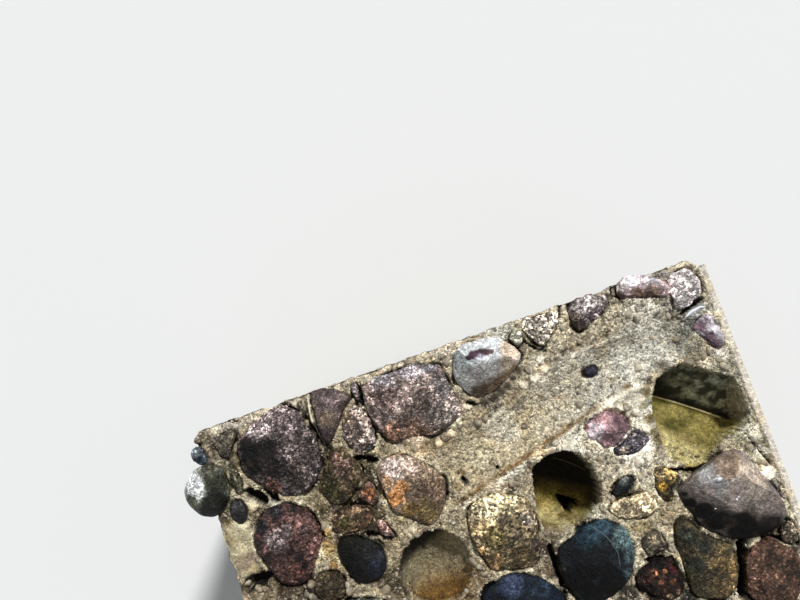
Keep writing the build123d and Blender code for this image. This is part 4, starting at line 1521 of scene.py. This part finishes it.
# Growth, grime and bare cream paste, the palest with painted light, and painted shadow in the gaps
# and under the stones, that lie over the whole of the mortar.
TOP_STAINS_AND_SHADOWS: tuple[Patch, ...] = stains_and_shading(
    (-407, 333, 30, 22, 19, 13, 80), (-318, 268, 34, 42, 37, 26, 80),
    (-413, 219, 34, 31, 26, 18, 80), (-385, 184, 30, 34, 29, 19, 80),
    (-385, 146, 26, 34, 29, 20, 80), (-345, 110, 32, 40, 35, 25, 80),
    (-467, 174, 30, 34, 30, 20, 60), (-480, 300, 26, 36, 33, 26, 70),
    (-444, 200, 20, 62, 55, 40, 60), (-477, 226, 26, 60, 55, 44, 80),
    (-471, 120, 16, 72, 58, 34, 90), (-448, 150, 12, 66, 56, 36, 80),
    (-478, 70, 14, 80, 68, 44, 90), (-484, 30, 14, 48, 34, 16, 90),
    (-510, 48, 24, 82, 76, 62, 90), (-461, 50, 20, 84, 76, 60, 90),
    (-506, -10, 46, 26, 23, 19, 85), (-590, 30, 46, 30, 26, 20, 75),
    (-430, 476, 16, 20, 17, 14, 90), (-428, 440, 14, 20, 17, 14, 90),
    (-392, 340, 13, 6, 5, 5, 90), (-461, 469, 12, 12, 10, 9, 90), (-590, 226, 34, 95, 92, 82, 95),
    (-640, 262, 22, 92, 88, 76, 90), (-655, 90, 18, 86, 80, 66, 90),
    (-740, 76, 16, 86, 80, 66, 90), (-719, 118, 26, 52, 44, 37, 70),
    (-690, 124, 22, 54, 46, 40, 70), (-738, 190, 16, 56, 50, 36, 60),
    (-690, 330, 14, 30, 28, 18, 80), (-301, 181, 14, 80, 72, 54, 80),
    (-300, 129, 16, 82, 74, 56, 80), (-261, 90, 18, 84, 76, 58, 80),
    (-235, 50, 22, 92, 86, 74, 85), (-290, 34, 20, 88, 80, 64, 85),
    (-326, -10, 16, 84, 77, 60, 80), (-170, 24, 20, 86, 79, 64, 80),
    (-70, 152, 12, 50, 40, 24, 70), (-90, 118, 14, 52, 43, 28, 70),
    (120, 108, 14, 30, 26, 16, 80), (122, 70, 12, 32, 28, 18, 80), (467, 213, 22, 97, 94, 86, 95),
    (425, 205, 26, 97, 94, 86, 95), (450, 165, 26, 96, 93, 86, 95),
    (448, 120, 22, 95, 92, 84, 90), (445, 70, 24, 94, 92, 84, 90), (484, 170, 14, 60, 60, 54, 90),
    (477, 120, 14, 62, 62, 55, 90), (478, 84, 12, 64, 62, 54, 90), (80, -112, 24, 28, 22, 17, 80),
    (72, -176, 24, 30, 22, 19, 80), (40, -166, 18, 36, 27, 22, 70), (84, -240, 24, 12, 10, 9, 90),
    (360, -196, 44, 30, 28, 22, 75), (318, -300, 30, 20, 17, 16, 85),
    (398, -300, 26, 10, 8, 7, 90), (480, -370, 40, 14, 12, 10, 80),
    (413, -250, 14, 86, 78, 62, 80), (444, -130, 16, 80, 72, 56, 80),
    (600, -262, 26, 10, 9, 7, 90), (572, -330, 26, 5, 4.5, 4, 95), (664, -284, 22, 12, 10, 8, 90),
    (724, -322, 22, 10, 8, 7, 90), (402, 66, 60, 116, 112, 104, 95),
    (392, 182, 44, 116, 111, 100, 95), (326, 116, 48, 110, 106, 98, 95),
    (236, 128, 36, 100, 96, 88, 90), (158, 130, 32, 97, 89, 75, 90), (8, 78, 36, 96, 89, 78, 90),
    (86, 236, 66, 89, 85, 76, 80), (4, 184, 44, 87, 83, 71, 70), (-154, 188, 46, 92, 86, 73, 85),
    (-158, 286, 32, 100, 90, 78, 90), (-84, 288, 32, 76, 69, 61, 85),
    (236, 352, 44, 84, 80, 72, 85), (316, 352, 44, 84, 80, 72, 85),
    (312, 300, 40, 82, 77, 66, 70), (478, 306, 46, 88, 86, 79, 80),
    (562, 420, 56, 88, 85, 78, 85), (642, 418, 44, 78, 74, 68, 85),
    (716, 424, 26, 96, 94, 89, 90), (640, 362, 36, 73, 71, 66, 80),
    (722, 232, 26, 97, 93, 87, 90), (724, 54, 24, 78, 76, 68, 90), (724, 0, 26, 108, 105, 95, 90),
    (726, -60, 26, 110, 107, 97, 90), (722, -122, 28, 110, 106, 98, 90),
    (722, -184, 30, 108, 103, 98, 90), (244, -64, 30, 96, 93, 83, 90),
    (312, -76, 30, 94, 90, 77, 90), (398, -58, 36, 90, 86, 75, 85),
    (-718, 296, 34, 40, 38, 27, 90), (-722, 254, 28, 34, 31, 22, 95),
    (-722, 418, 26, 38, 35, 32, 85), (-322, 386, 26, 40, 36, 30, 85),
    (82, 304, 28, 50, 46, 41, 80), (-403, 94, 32, 26, 22, 16, 95), (-440, 96, 24, 32, 27, 19, 90),
    (-366, 90, 26, 22, 19, 14, 95), (-315, 237, 30, 32, 28, 20, 90),
    (-334, 150, 28, 24, 20, 15, 95), (-342, 104, 24, 22, 18, 14, 95),
    (-426, 180, 26, 32, 27, 20, 90), (-372, 206, 24, 32, 27, 20, 90),
    (-452, 250, 22, 34, 30, 22, 85), (-322, 118, 30, 32, 28, 20, 95),
    (-556, 58, 30, 34, 27, 19, 90), (-610, 0, 60, 28, 24, 19, 95), (-560, -6, 44, 20, 16, 13, 95),
    (-334, -64, 52, 30, 26, 20, 90), (560, 246, 26, 46, 44, 39, 85),
    (644, 292, 42, 55, 54, 49, 80), (646, 244, 30, 55, 51, 42, 80),
    (482, 124, 18, 46, 42, 28, 90), (482, 62, 22, 50, 45, 30, 90), (480, -66, 22, 16, 15, 12, 95),
    (482, -180, 28, 10, 11, 9, 95), (556, -242, 30, 4, 4, 3, 95), (554, -420, 28, 7, 6, 5, 95),
    (250, -306, 40, 11, 10, 10, 95), (322, -338, 34, 14, 11, 10, 95),
    (402, -356, 36, 10, 9, 8, 95), (720, -300, 22, 24, 23, 19, 90),
    (-720, 480, 28, 48, 44, 39, 85), (160, 482, 44, 91, 90, 84, 80),
    (482, 480, 28, 78, 76, 71, 80), (642, 482, 30, 54, 53, 52, 85),
    (-430, 456, 24, 20, 17, 14, 90), (-424, 404, 16, 18, 15, 12, 90),
    (-732, 470, 24, 46, 43, 36, 85), (-694, 460, 28, 42, 39, 33, 85),
    (-640, 484, 30, 72, 68, 65, 85), (-640, 420, 18, 68, 62, 50, 85),
    (-722, 436, 14, 30, 22, 20, 85), (488, 196, 17, 52, 49, 38, 95),
    (472, 162, 15, 56, 53, 42, 95), (468, 124, 15, 54, 50, 38, 95), (470, 84, 15, 54, 49, 35, 95),
    (508, 218, 16, 46, 43, 33, 90), (380, 92, 14, 42, 34, 35, 95), (362, 82, 11, 42, 35, 36, 95),
    (299, -58, 13, 80, 75, 62, 90), (346, -106, 16, 78, 72, 58, 90),
    (408, -96, 13, 76, 70, 56, 90), (262, 358, 11, 42, 38, 30, 85),
    (286, 362, 11, 40, 36, 28, 85), (310, 368, 10, 40, 36, 28, 85),
    (335, 374, 10, 42, 38, 30, 85), (361, 380, 10, 44, 40, 32, 85),
    (388, 386, 10, 46, 42, 34, 85), (176, 367, 15, 14, 11, 8, 90), (154, 353, 13, 16, 13, 10, 90),
    (134, 338, 15, 16, 13, 10, 90), (111, 330, 14, 20, 16, 12, 90), (88, 321, 15, 18, 15, 11, 90),
    (54, 318, 14, 30, 25, 20, 85), (246, 376, 12, 102, 97, 88, 90),
    (247, 349, 13, 105, 100, 91, 90), (211, 331, 13, 105, 100, 91, 90),
    (177, 325, 12, 100, 95, 85, 85), (10, 319, 12, 106, 98, 86, 90),
    (-24, 289, 13, 108, 100, 86, 90), (-59, 266, 13, 108, 100, 86, 90),
    (-99, 252, 13, 104, 96, 82, 90), (-167, 282, 12, 102, 92, 80, 85),
    (-207, 272, 12, 102, 94, 82, 85), (-64, 126, 11, 6, 5, 4, 95))


@dataclass
class CastBody:
    """The concrete body: its face worked from a fine grid, its sides and base from the rim."""

    face: WornFace
    across: int = 312
    along: int = 208
    fin_breadth: float = 0.02
    cast_arris: float = 0.022
    blend: float = 0.06
    proudest: float = 0.02
    farthest: float = 0.515
    levels: tuple[float, ...] = (
        0.004, 0.01, 0.018, 0.028, 0.04, 0.055, 0.075, 0.1, 0.13, 0.165, 0.2, 0.236, 0.272,
        0.308, 0.344, 0.38, 0.416, 0.452, 0.488, 0.524, 0.56, 0.6, 0.64, 0.685, 0.73, 0.78,
        0.83, 0.885, 0.94, 0.978, 1.0)

    def build(self, material: bpy.types.Material) -> bpy.types.Object:
        """Work, paint and seat the body.

        Args:
            material: The mortar's finish.

        Returns:
            The finished body, which stands for its solid.
        """
        form = bmesh.new()
        bmesh.ops.create_grid(form, x_segments=self.across, y_segments=self.along, size=0.5)
        for vertex in form.verts:
            vertex.co.x = vertex.co.x * (LENGTH + self.fin_breadth) + self.fin_breadth / 2
            vertex.co.y = vertex.co.y * WIDTH
            vertex.co.z = 0.0
        rim = [edge for edge in form.edges if edge.is_boundary]
        depth = 0.0
        for level in self.levels:
            grown = bmesh.ops.extrude_edge_only(form, edges=rim)["geom"]
            fresh = [item for item in grown if isinstance(item, bmesh.types.BMVert)]
            edges = [item for item in grown if isinstance(item, bmesh.types.BMEdge)]
            rim = [edge for edge in edges if edge.is_boundary]
            bmesh.ops.translate(form, verts=fresh, vec=(0, 0, depth - level))
            depth = level
        bmesh.ops.contextual_create(form, geom=rim)
        for vertex in form.verts:
            self._shape(vertex)
        bmesh.ops.recalc_face_normals(form, faces=form.faces)
        tones = [self.face.tone(vertex.co) for vertex in form.verts]
        grits = [self.face.grit(vertex.co) for vertex in form.verts]
        piece = piece_from(form, "cast_body")
        paint_tones(piece, tones, grits)
        dress(piece, material)
        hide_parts("concrete_block")
        return piece

    def _shape(self, vertex: bmesh.types.BMVert) -> None:
        """Move one vertex from the plain box to its worn place."""
        x, y, down = vertex.co.x, vertex.co.y, -vertex.co.z
        if down == 0.0:
            height = self.face.height(x, y)
            x, y = self._cornered(x, y, 0.0)
            x, y = self._ragged(x, y, 0.0)
            vertex.co = Vector((x, y, min(FACE + height, FACE + self.proudest)))
            return
        fin = 1 - ease(0.012, 0.07, down)
        start = END - self.blend
        if x > start:
            share = (x - start) / (self.blend + self.fin_breadth)
            x = start + share * (self.blend + self.fin_breadth * fin)
        bite = self.cast_arris * ease(0.978, 1.0, down)
        x, y = self._cornered(x, y, bite)
        z = FACE - down
        wear = 0.0025 + 0.0025 * wander(x, y, z, 0.07, 14) + 0.0015 * wander(x, y, z, 0.02, 15)
        chip = max(0.0, wander(x, y, z, 0.05, 16) - 0.25) * 0.02 * (1 - ease(0.0, 0.05, down))
        hole = max(0.0, 0.16 - noise.voronoi(Vector((x / 0.06, y / 0.06, z / 0.06)))[0][0]) * 0.03
        inward = wear + chip + hole
        if x < END + 0.001:
            x -= math.copysign(inward * ease(start, END, abs(x)), x)
        y -= math.copysign(inward * ease(SIDE - self.blend, SIDE, abs(y)), y)
        lip = 0.02
        if down < lip:
            height = self.face.height(held(x, -0.745, 0.765), held(y, -0.495, 0.495))
            z += height * 0.5 * (1 - ease(0.0, lip, down))
        x, y = self._ragged(x, y, down)
        vertex.co = Vector((x, y, z if down < 0.999 else 0.0))

    def _ragged(self, x: float, y: float, down: float) -> tuple[float, float]:
        """Make the far and left rims of the face ragged, and less so lower down."""
        left = 1 - ease(-END, -0.715, x)
        far = ease(0.465, SIDE, y)
        fade = 1 - ease(0.01, 0.09, down)
        run, low = x if far > left else y, down * 2
        swing = 0.007 * wander(run, low, 0, 0.06, 71) + 0.004 * wander(run, low, 0, 0.022, 72)
        y += far * fade * (swing + 0.001)
        x -= left * (1 - far) * fade * swing
        return x, min(y, self.farthest)

    def _cornered(self, x: float, y: float, bite: float) -> tuple[float, float]:
        """Cut the cast corners in plan, and draw the base's arris in."""
        x = min(max(x, -END + bite), max(END - bite, x if bite == 0 else 0))
        y = held(y, -SIDE + bite, SIDE - bite)
        over_x, over_y = abs(x) - (END - self.cast_arris), abs(y) - (SIDE - self.cast_arris)
        spare = over_x + over_y - self.cast_arris
        if min(over_x, over_y, spare) > 0:
            x -= math.copysign(spare / 2, x)
            y -= math.copysign(spare / 2, y)
        return x, y


@dataclass(frozen=True)
class Gravel:
    """One grade of pebbles bedded in the mortar."""

    name: str
    count: int
    smallest: float
    largest: float
    seed: int
    coarse: bool
    tones: tuple[tuple[float, float, float], ...]
    slot: str = "concrete"
    reach_x: float = 0.74
    reach_y: float = 0.495
    batch_limit: int = 1200
    deepest_seat: float = 0.035
    big: float = 12.0
    apron_thinning: float = 0.95
    bead_thinning: float = 0.8
    patch_thinning: float = 0.7

    def build(self, face: WornFace, ground: BVHTree,
              material: bpy.types.Material) -> bpy.types.Object:
        """Bed the pebbles where there is open mortar.

        Args:
            face: The mortar's layout.
            ground: The body's surface, for their seats.
            material: The gravel's finish.

        Returns:
            The pebbles as one piece.
        """
        chance = random.Random(self.seed)
        form = bmesh.new()
        batch = bmesh.new()
        tones: list[Vector] = []
        laid = 0
        while laid < self.count:
            if len(batch.verts) > self.batch_limit:
                gather(batch, form)
            x = chance.uniform(-self.reach_x, self.reach_x)
            y = chance.uniform(-self.reach_y, self.reach_y)
            size = self.smallest + (self.largest - self.smallest) * chance.random() ** 2
            draw = chance.random()
            stone, _, gap = face.nearest(x, y)
            if stone is not None and gap < size * 0.5 * MM:
                continue
            if face.hollow(x, y) > 0.002 or face.band_share(x, y) > 0.1 or face.is_bare(x, y):
                continue
            if draw < self.apron_thinning and face.apron_share(x, y) > 0.1:
                continue
            if draw < self.bead_thinning and face.bead_share(x, y) > 0.2:
                continue
            sparse = size > self.big and wander(x, y, 0, 0.15, 41) < -0.15
            if draw < self.patch_thinning and sparse:
                continue
            hit = below(ground, x, y)[0]
            if hit is None or hit.z < FACE - self.deepest_seat:
                continue
            laid += 1
            tone = paint(*chance.choice(self.tones)) * chance.uniform(0.7, 1.25)
            tone = tone.lerp(face.tone(hit), 0.5)
            tones += [tone] * self._lay(batch, hit, size * MM, chance)
        gather(batch, form)
        batch.free()
        piece = piece_from(form, self.name)
        paint_tones(piece, tones)
        dress(piece, material)
        return piece

    def _lay(self, form: bmesh.types.BMesh, seat: Vector, size: float,
             chance: random.Random) -> int:
        """Shape one pebble on its seat, and give its number of vertices."""
        half = size / 2
        squash = Vector((
            chance.uniform(0.75, 1.25), chance.uniform(0.6, 1.0), chance.uniform(0.5, 0.8)))
        turn = Matrix.Rotation(chance.uniform(0, math.tau), 4, "Z")
        tilt = Matrix.Rotation(chance.uniform(-0.5, 0.5), 4, "X")
        sunk = Vector((0, 0, -half * squash.z * chance.uniform(-0.1, 0.5)))
        place = Matrix.Translation(seat + sunk) @ turn @ tilt
        place @= Matrix.Diagonal((*(squash * half), 1.0))
        if self.coarse:
            made = bmesh.ops.create_uvsphere(
                form, u_segments=7, v_segments=5, radius=1.0)["verts"]
        else:
            made = bmesh.ops.create_icosphere(form, subdivisions=1, radius=1.0)["verts"]
        seed = chance.uniform(0, 50)
        for vertex in made:
            vertex.co *= 1 + 0.4 * noise.noise(vertex.co * 1.1 + Vector((seed, seed, 0)))
            vertex.co = place @ vertex.co
            vertex.co.y = held(vertex.co.y, -SIDE + 0.002, SIDE - 0.002)
            vertex.co.x = max(vertex.co.x, -END + 0.002)
        return len(made)


GRAVEL_GRADES: tuple[Gravel, ...] = (
    Gravel("coarse_pebbles", 620, 11, 32, 5, True, (
        (0.64, 0.58, 0.48), (0.46, 0.40, 0.34), (0.30, 0.26, 0.24), (0.56, 0.49, 0.40),
        (0.74, 0.69, 0.59), (0.36, 0.33, 0.30), (0.46, 0.37, 0.31), (0.66, 0.62, 0.54),
        (0.24, 0.22, 0.21), (0.80, 0.76, 0.68))),
    Gravel("fine_gravel", 5200, 4.5, 12, 9, False, (
        (0.72, 0.66, 0.54), (0.50, 0.44, 0.34), (0.34, 0.28, 0.22), (0.84, 0.79, 0.68),
        (0.62, 0.54, 0.40), (0.42, 0.38, 0.32), (0.26, 0.22, 0.19), (0.90, 0.87, 0.80))),
)


@dataclass
class SurfaceLines:
    """Thin proud lines lying on the face: mineral veins, the bead's crest and cracked lips."""

    ridges: tuple[Ridge, ...] = (
        # A vein in the slate wedge.
        Ridge(((-405, 494), (-410, 470), (-413, 440), (-414, 410), (-412, 376), (-404, 342)),
              6, (0.93, 0.90, 0.80), 3.0),
        # The wedge hollow's lowest line.
        Ridge(((516, 176), (560, 147), (600, 118), (650, 80), (700, 40)),
              7, (0.90, 0.84, 0.62), 3.0),
        # A line of lime in the deep hollow.
        Ridge(((204, 84), (232, 66), (256, 46), (274, 29)), 4,
              (0.42, 0.38, 0.28), 1.0),
        # A crease in the blue-black boulder.
        Ridge(((206, -84), (226, -104), (242, -126), (252, -152), (258, -182), (250, -214)),
              3, (0.34, 0.40, 0.42), 0.6),
        # A strip of lime at the far right corner.
        Ridge(((664, 352), (690, 362), (716, 366), (730, 362)), 9,
              (0.95, 0.95, 0.97), 4.0),
        # A scratch across the trough.
        Ridge(((-128, 232), (-108, 190), (-88, 148), (-74, 112)), 4,
              (0.86, 0.78, 0.60), 1.2),
    )
    pitch: float = 0.004

    def build(self, ground: BVHTree, material: bpy.types.Material) -> bpy.types.Object:
        """Lay every line on the surface below it.

        Args:
            ground: The surface they lie on.
            material: Their finish.

        Returns:
            The lines as one piece.
        """
        form = bmesh.new()
        tones: list[Vector] = []
        for ridge in self.ridges:
            strip = self._strip(ridge, ground)
            tones += [paint(*ridge.tone)] * len(strip.verts)
            gather(strip, form)
            strip.free()
        piece = piece_from(form, "surface_lines")
        paint_tones(piece, tones)
        dress(piece, material)
        return piece

    def _marks(self, ridge: Ridge) -> list[Vector]:
        """Points along a line, a few millimetres apart."""
        points = [Vector((x, y)) * MM for x, y in ridge.points]
        marks = []
        for here, there in zip(points, points[1:]):
            count = max(2, int((there - here).length / self.pitch))
            marks += [here.lerp(there, step / count) for step in range(count)]
        return marks + points[-1:]

    def _strip(self, ridge: Ridge, ground: BVHTree) -> bmesh.types.BMesh:
        """Bend a flat strip along a line, arched and thinning out at its ends.

        Args:
            ridge: The line.
            ground: The surface it lies on.

        Returns:
            The strip, closed below.
        """
        marks = self._marks(ridge)
        last = len(marks) - 1
        strip = bmesh.new()
        bmesh.ops.create_grid(strip, x_segments=last, y_segments=3, size=1.0)
        for vertex in strip.verts:
            place = round((vertex.co.x + 1) / 2 * last)
            row = round((vertex.co.y + 1) / 2 * 3)
            mark = marks[place]
            ahead = marks[min(place + 1, last)] - marks[max(place - 1, 0)]
            hit = below(ground, mark.x, mark.y)[0]
            half = ridge.breadth * MM / 2 * min(1.0, 0.35 + min(place, last - place) / 3)
            half *= 1 + 0.4 * wander(mark.x, mark.y, 0, 0.01, 51)
            spot = mark + ahead.orthogonal().normalized() * half * (-1, -0.5, 0.5, 1)[row]
            lift = ridge.proud if row in (1, 2) else -1.5
            vertex.co = (spot.x, spot.y, (hit.z if hit else FACE) + lift * MM)
        bmesh.ops.solidify(strip, geom=strip.faces[:], thickness=0.0012)
        bmesh.ops.recalc_face_normals(strip, faces=strip.faces[:])
        return strip


@dataclass
class Shells:
    """A limpet on the big grey stone, and white specks of barnacle near it."""

    limpet: tuple[float, float] = (576.0, -79.0)
    specks: tuple[tuple[float, float, float], ...] = (
        (600, -143, 9), (606, -138, 6), (543, -152, 6), (640, -120, 4), (430, 66, 6))

    def build(self, ground: BVHTree, material: bpy.types.Material) -> bpy.types.Object:
        """Set the shells on the stones below them.

        Args:
            ground: The surface they sit on.
            material: Their finish.

        Returns:
            The shells as one piece.
        """
        form = bmesh.new()
        shells = [(*self.limpet, 24.0, 0.55)] + [(x, y, size, 0.8) for x, y, size in self.specks]
        for x, y, size, squash in shells:
            hit, facing = below(ground, x * MM, y * MM)
            if hit is None:
                continue
            turn = facing.to_track_quat("Z", "Y").to_matrix().to_4x4()
            place = Matrix.Translation(hit + facing * size * 0.1 * MM) @ turn
            place @= Matrix.Rotation(0.3, 4, "Z") @ Matrix.Diagonal((1, squash, 1, 1))
            bmesh.ops.create_cone(
                form, cap_ends=True, segments=14, radius1=size / 2 * MM, radius2=size / 9 * MM,
                depth=size * 0.34 * MM, matrix=place)
        piece = piece_from(form, "limpet_and_barnacles")
        paint_tones(piece, [paint(0.97, 0.97, 1.0)] * len(piece.data.vertices))
        dress(piece, material)
        return piece


@dataclass
class Studio:
    """Plain pale floor, soft light and the camera, which looks down on the stony face."""

    eye: tuple[float, float, float] = (-0.0718, 0.4463, 3.1907)
    forward: tuple[float, float, float] = (0.0004, 0.0985, -0.9951)
    upward: tuple[float, float, float] = (0.33, 0.9394, 0.0931)
    lens: float = 35.0
    sun_toward: tuple[float, float, float] = (0.41, 0.52, 0.75)
    sun_strength: float = 3.1
    sun_spread: float = 7.0
    sky: float = 0.3
    sky_tone: tuple[float, float, float] = (0.90, 0.96, 1.0)
    floor_tone: tuple[float, float, float] = (0.84, 0.84, 0.83)
    film: float = 36.0

    def build(self) -> None:
        """Put up the floor, the light, the sky and the camera."""
        self._floor()
        lamp = bpy.data.lights.new("key_light", "SUN")
        lamp.energy = self.sun_strength
        lamp.angle = math.radians(self.sun_spread)
        key = bpy.data.objects.new("key_light", lamp)
        key.rotation_mode = "QUATERNION"
        key.rotation_quaternion = Vector(self.sun_toward).to_track_quat("Z", "Y")
        bpy.context.scene.collection.objects.link(key)
        self._sky()
        self._camera()
        bpy.context.scene.view_settings.view_transform = "Standard"

    def _floor(self) -> None:
        """A wide pale floor, white to the camera."""
        form = bmesh.new()
        bmesh.ops.create_grid(form, x_segments=1, y_segments=1, size=14.0)
        floor = piece_from(form, "floor")
        sheet = NodeSheet("pale_floor")
        sheet.shader.inputs["Base Color"].default_value = (*self.floor_tone, 1)
        sheet.shader.inputs["Roughness"].default_value = 0.9
        floor.data.materials.append(sheet.material)

    def _sky(self) -> None:
        """An even sky that fills the shadows, and is white to the camera."""
        world = bpy.data.worlds.new("even_sky")
        bpy.context.scene.world = world
        world.use_nodes = True
        tree = world.node_tree
        tree.nodes.clear()
        path = tree.nodes.new("ShaderNodeLightPath")
        seen = path.outputs["Is Camera Ray"]
        for kind in ("Is Glossy Ray", "Is Transmission Ray"):
            either = tree.nodes.new("ShaderNodeMath")
            either.operation = "MAXIMUM"
            tree.links.new(seen, either.inputs[0])
            tree.links.new(path.outputs[kind], either.inputs[1])
            seen = either.outputs[0]
        light = tree.nodes.new("ShaderNodeBackground")
        light.inputs["Color"].default_value = (*self.sky_tone, 1)
        light.inputs["Strength"].default_value = self.sky
        shown = tree.nodes.new("ShaderNodeBackground")
        shown.inputs["Strength"].default_value = 1.0
        mix = tree.nodes.new("ShaderNodeMixShader")
        out = tree.nodes.new("ShaderNodeOutputWorld")
        tree.links.new(seen, mix.inputs[0])
        tree.links.new(light.outputs[0], mix.inputs[1])
        tree.links.new(shown.outputs[0], mix.inputs[2])
        tree.links.new(mix.outputs[0], out.inputs[0])

    def _camera(self) -> None:
        """The camera, rolled a little, so that the far edge rises to the right."""
        data = bpy.data.cameras.new("camera")
        data.lens = self.lens
        data.sensor_width = self.film
        camera = bpy.data.objects.new("camera", data)
        back = -Vector(self.forward).normalized()
        up = Vector(self.upward).normalized()
        right = up.cross(back).normalized()
        up = back.cross(right).normalized()
        turn = Matrix((right, up, back)).transposed().to_4x4()
        camera.matrix_world = Matrix.Translation(Vector(self.eye)) @ turn
        bpy.context.scene.collection.objects.link(camera)
        bpy.context.scene.camera = camera


def ground_of(pieces: list[bpy.types.Object]) -> BVHTree:
    """One surface to lay small things on, from several pieces.

    Args:
        pieces: The pieces.

    Returns:
        The tree of all their faces.
    """
    points: list[Vector] = []
    faces: list[list[int]] = []
    for piece in pieces:
        first = len(points)
        points += [vertex.co.copy() for vertex in piece.data.vertices]
        faces += [[first + corner for corner in face.vertices] for face in piece.data.polygons]
    return BVHTree.FromPolygons(points, faces)


def reported(piece: bpy.types.Object) -> bpy.types.Object:
    """Log a finished piece, and hand it on."""
    log.info("%s: %d faces", piece.name, len(piece.data.polygons))
    return piece


def main() -> None:
    """Build the block's pieces in order, and report each."""
    logging.basicConfig(level=logging.INFO, format="%(message)s")
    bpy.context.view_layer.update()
    finishes = {name: finish.material() for name, finish in STONE_FINISHES.items()}
    mortar = MortarFinish().material()
    gravel = PEBBLES.material()
    shell = CHALK.material()
    stones = [SetStone(node, look) for node, look in LOOKS.items()]
    face = WornFace(stones)
    body = reported(CastBody(face).build(mortar))
    shown = [body] + [reported(stone.build(finishes[stone.look.slot])) for stone in stones]
    ground = ground_of([body])
    for grade in GRAVEL_GRADES:
        reported(grade.build(face, ground, gravel))
    whole = ground_of(shown)
    for maker in (SurfaceLines(), Shells()):
        reported(maker.build(whole, shell))
    Studio().build()


if __name__ == "__main__":
    main()
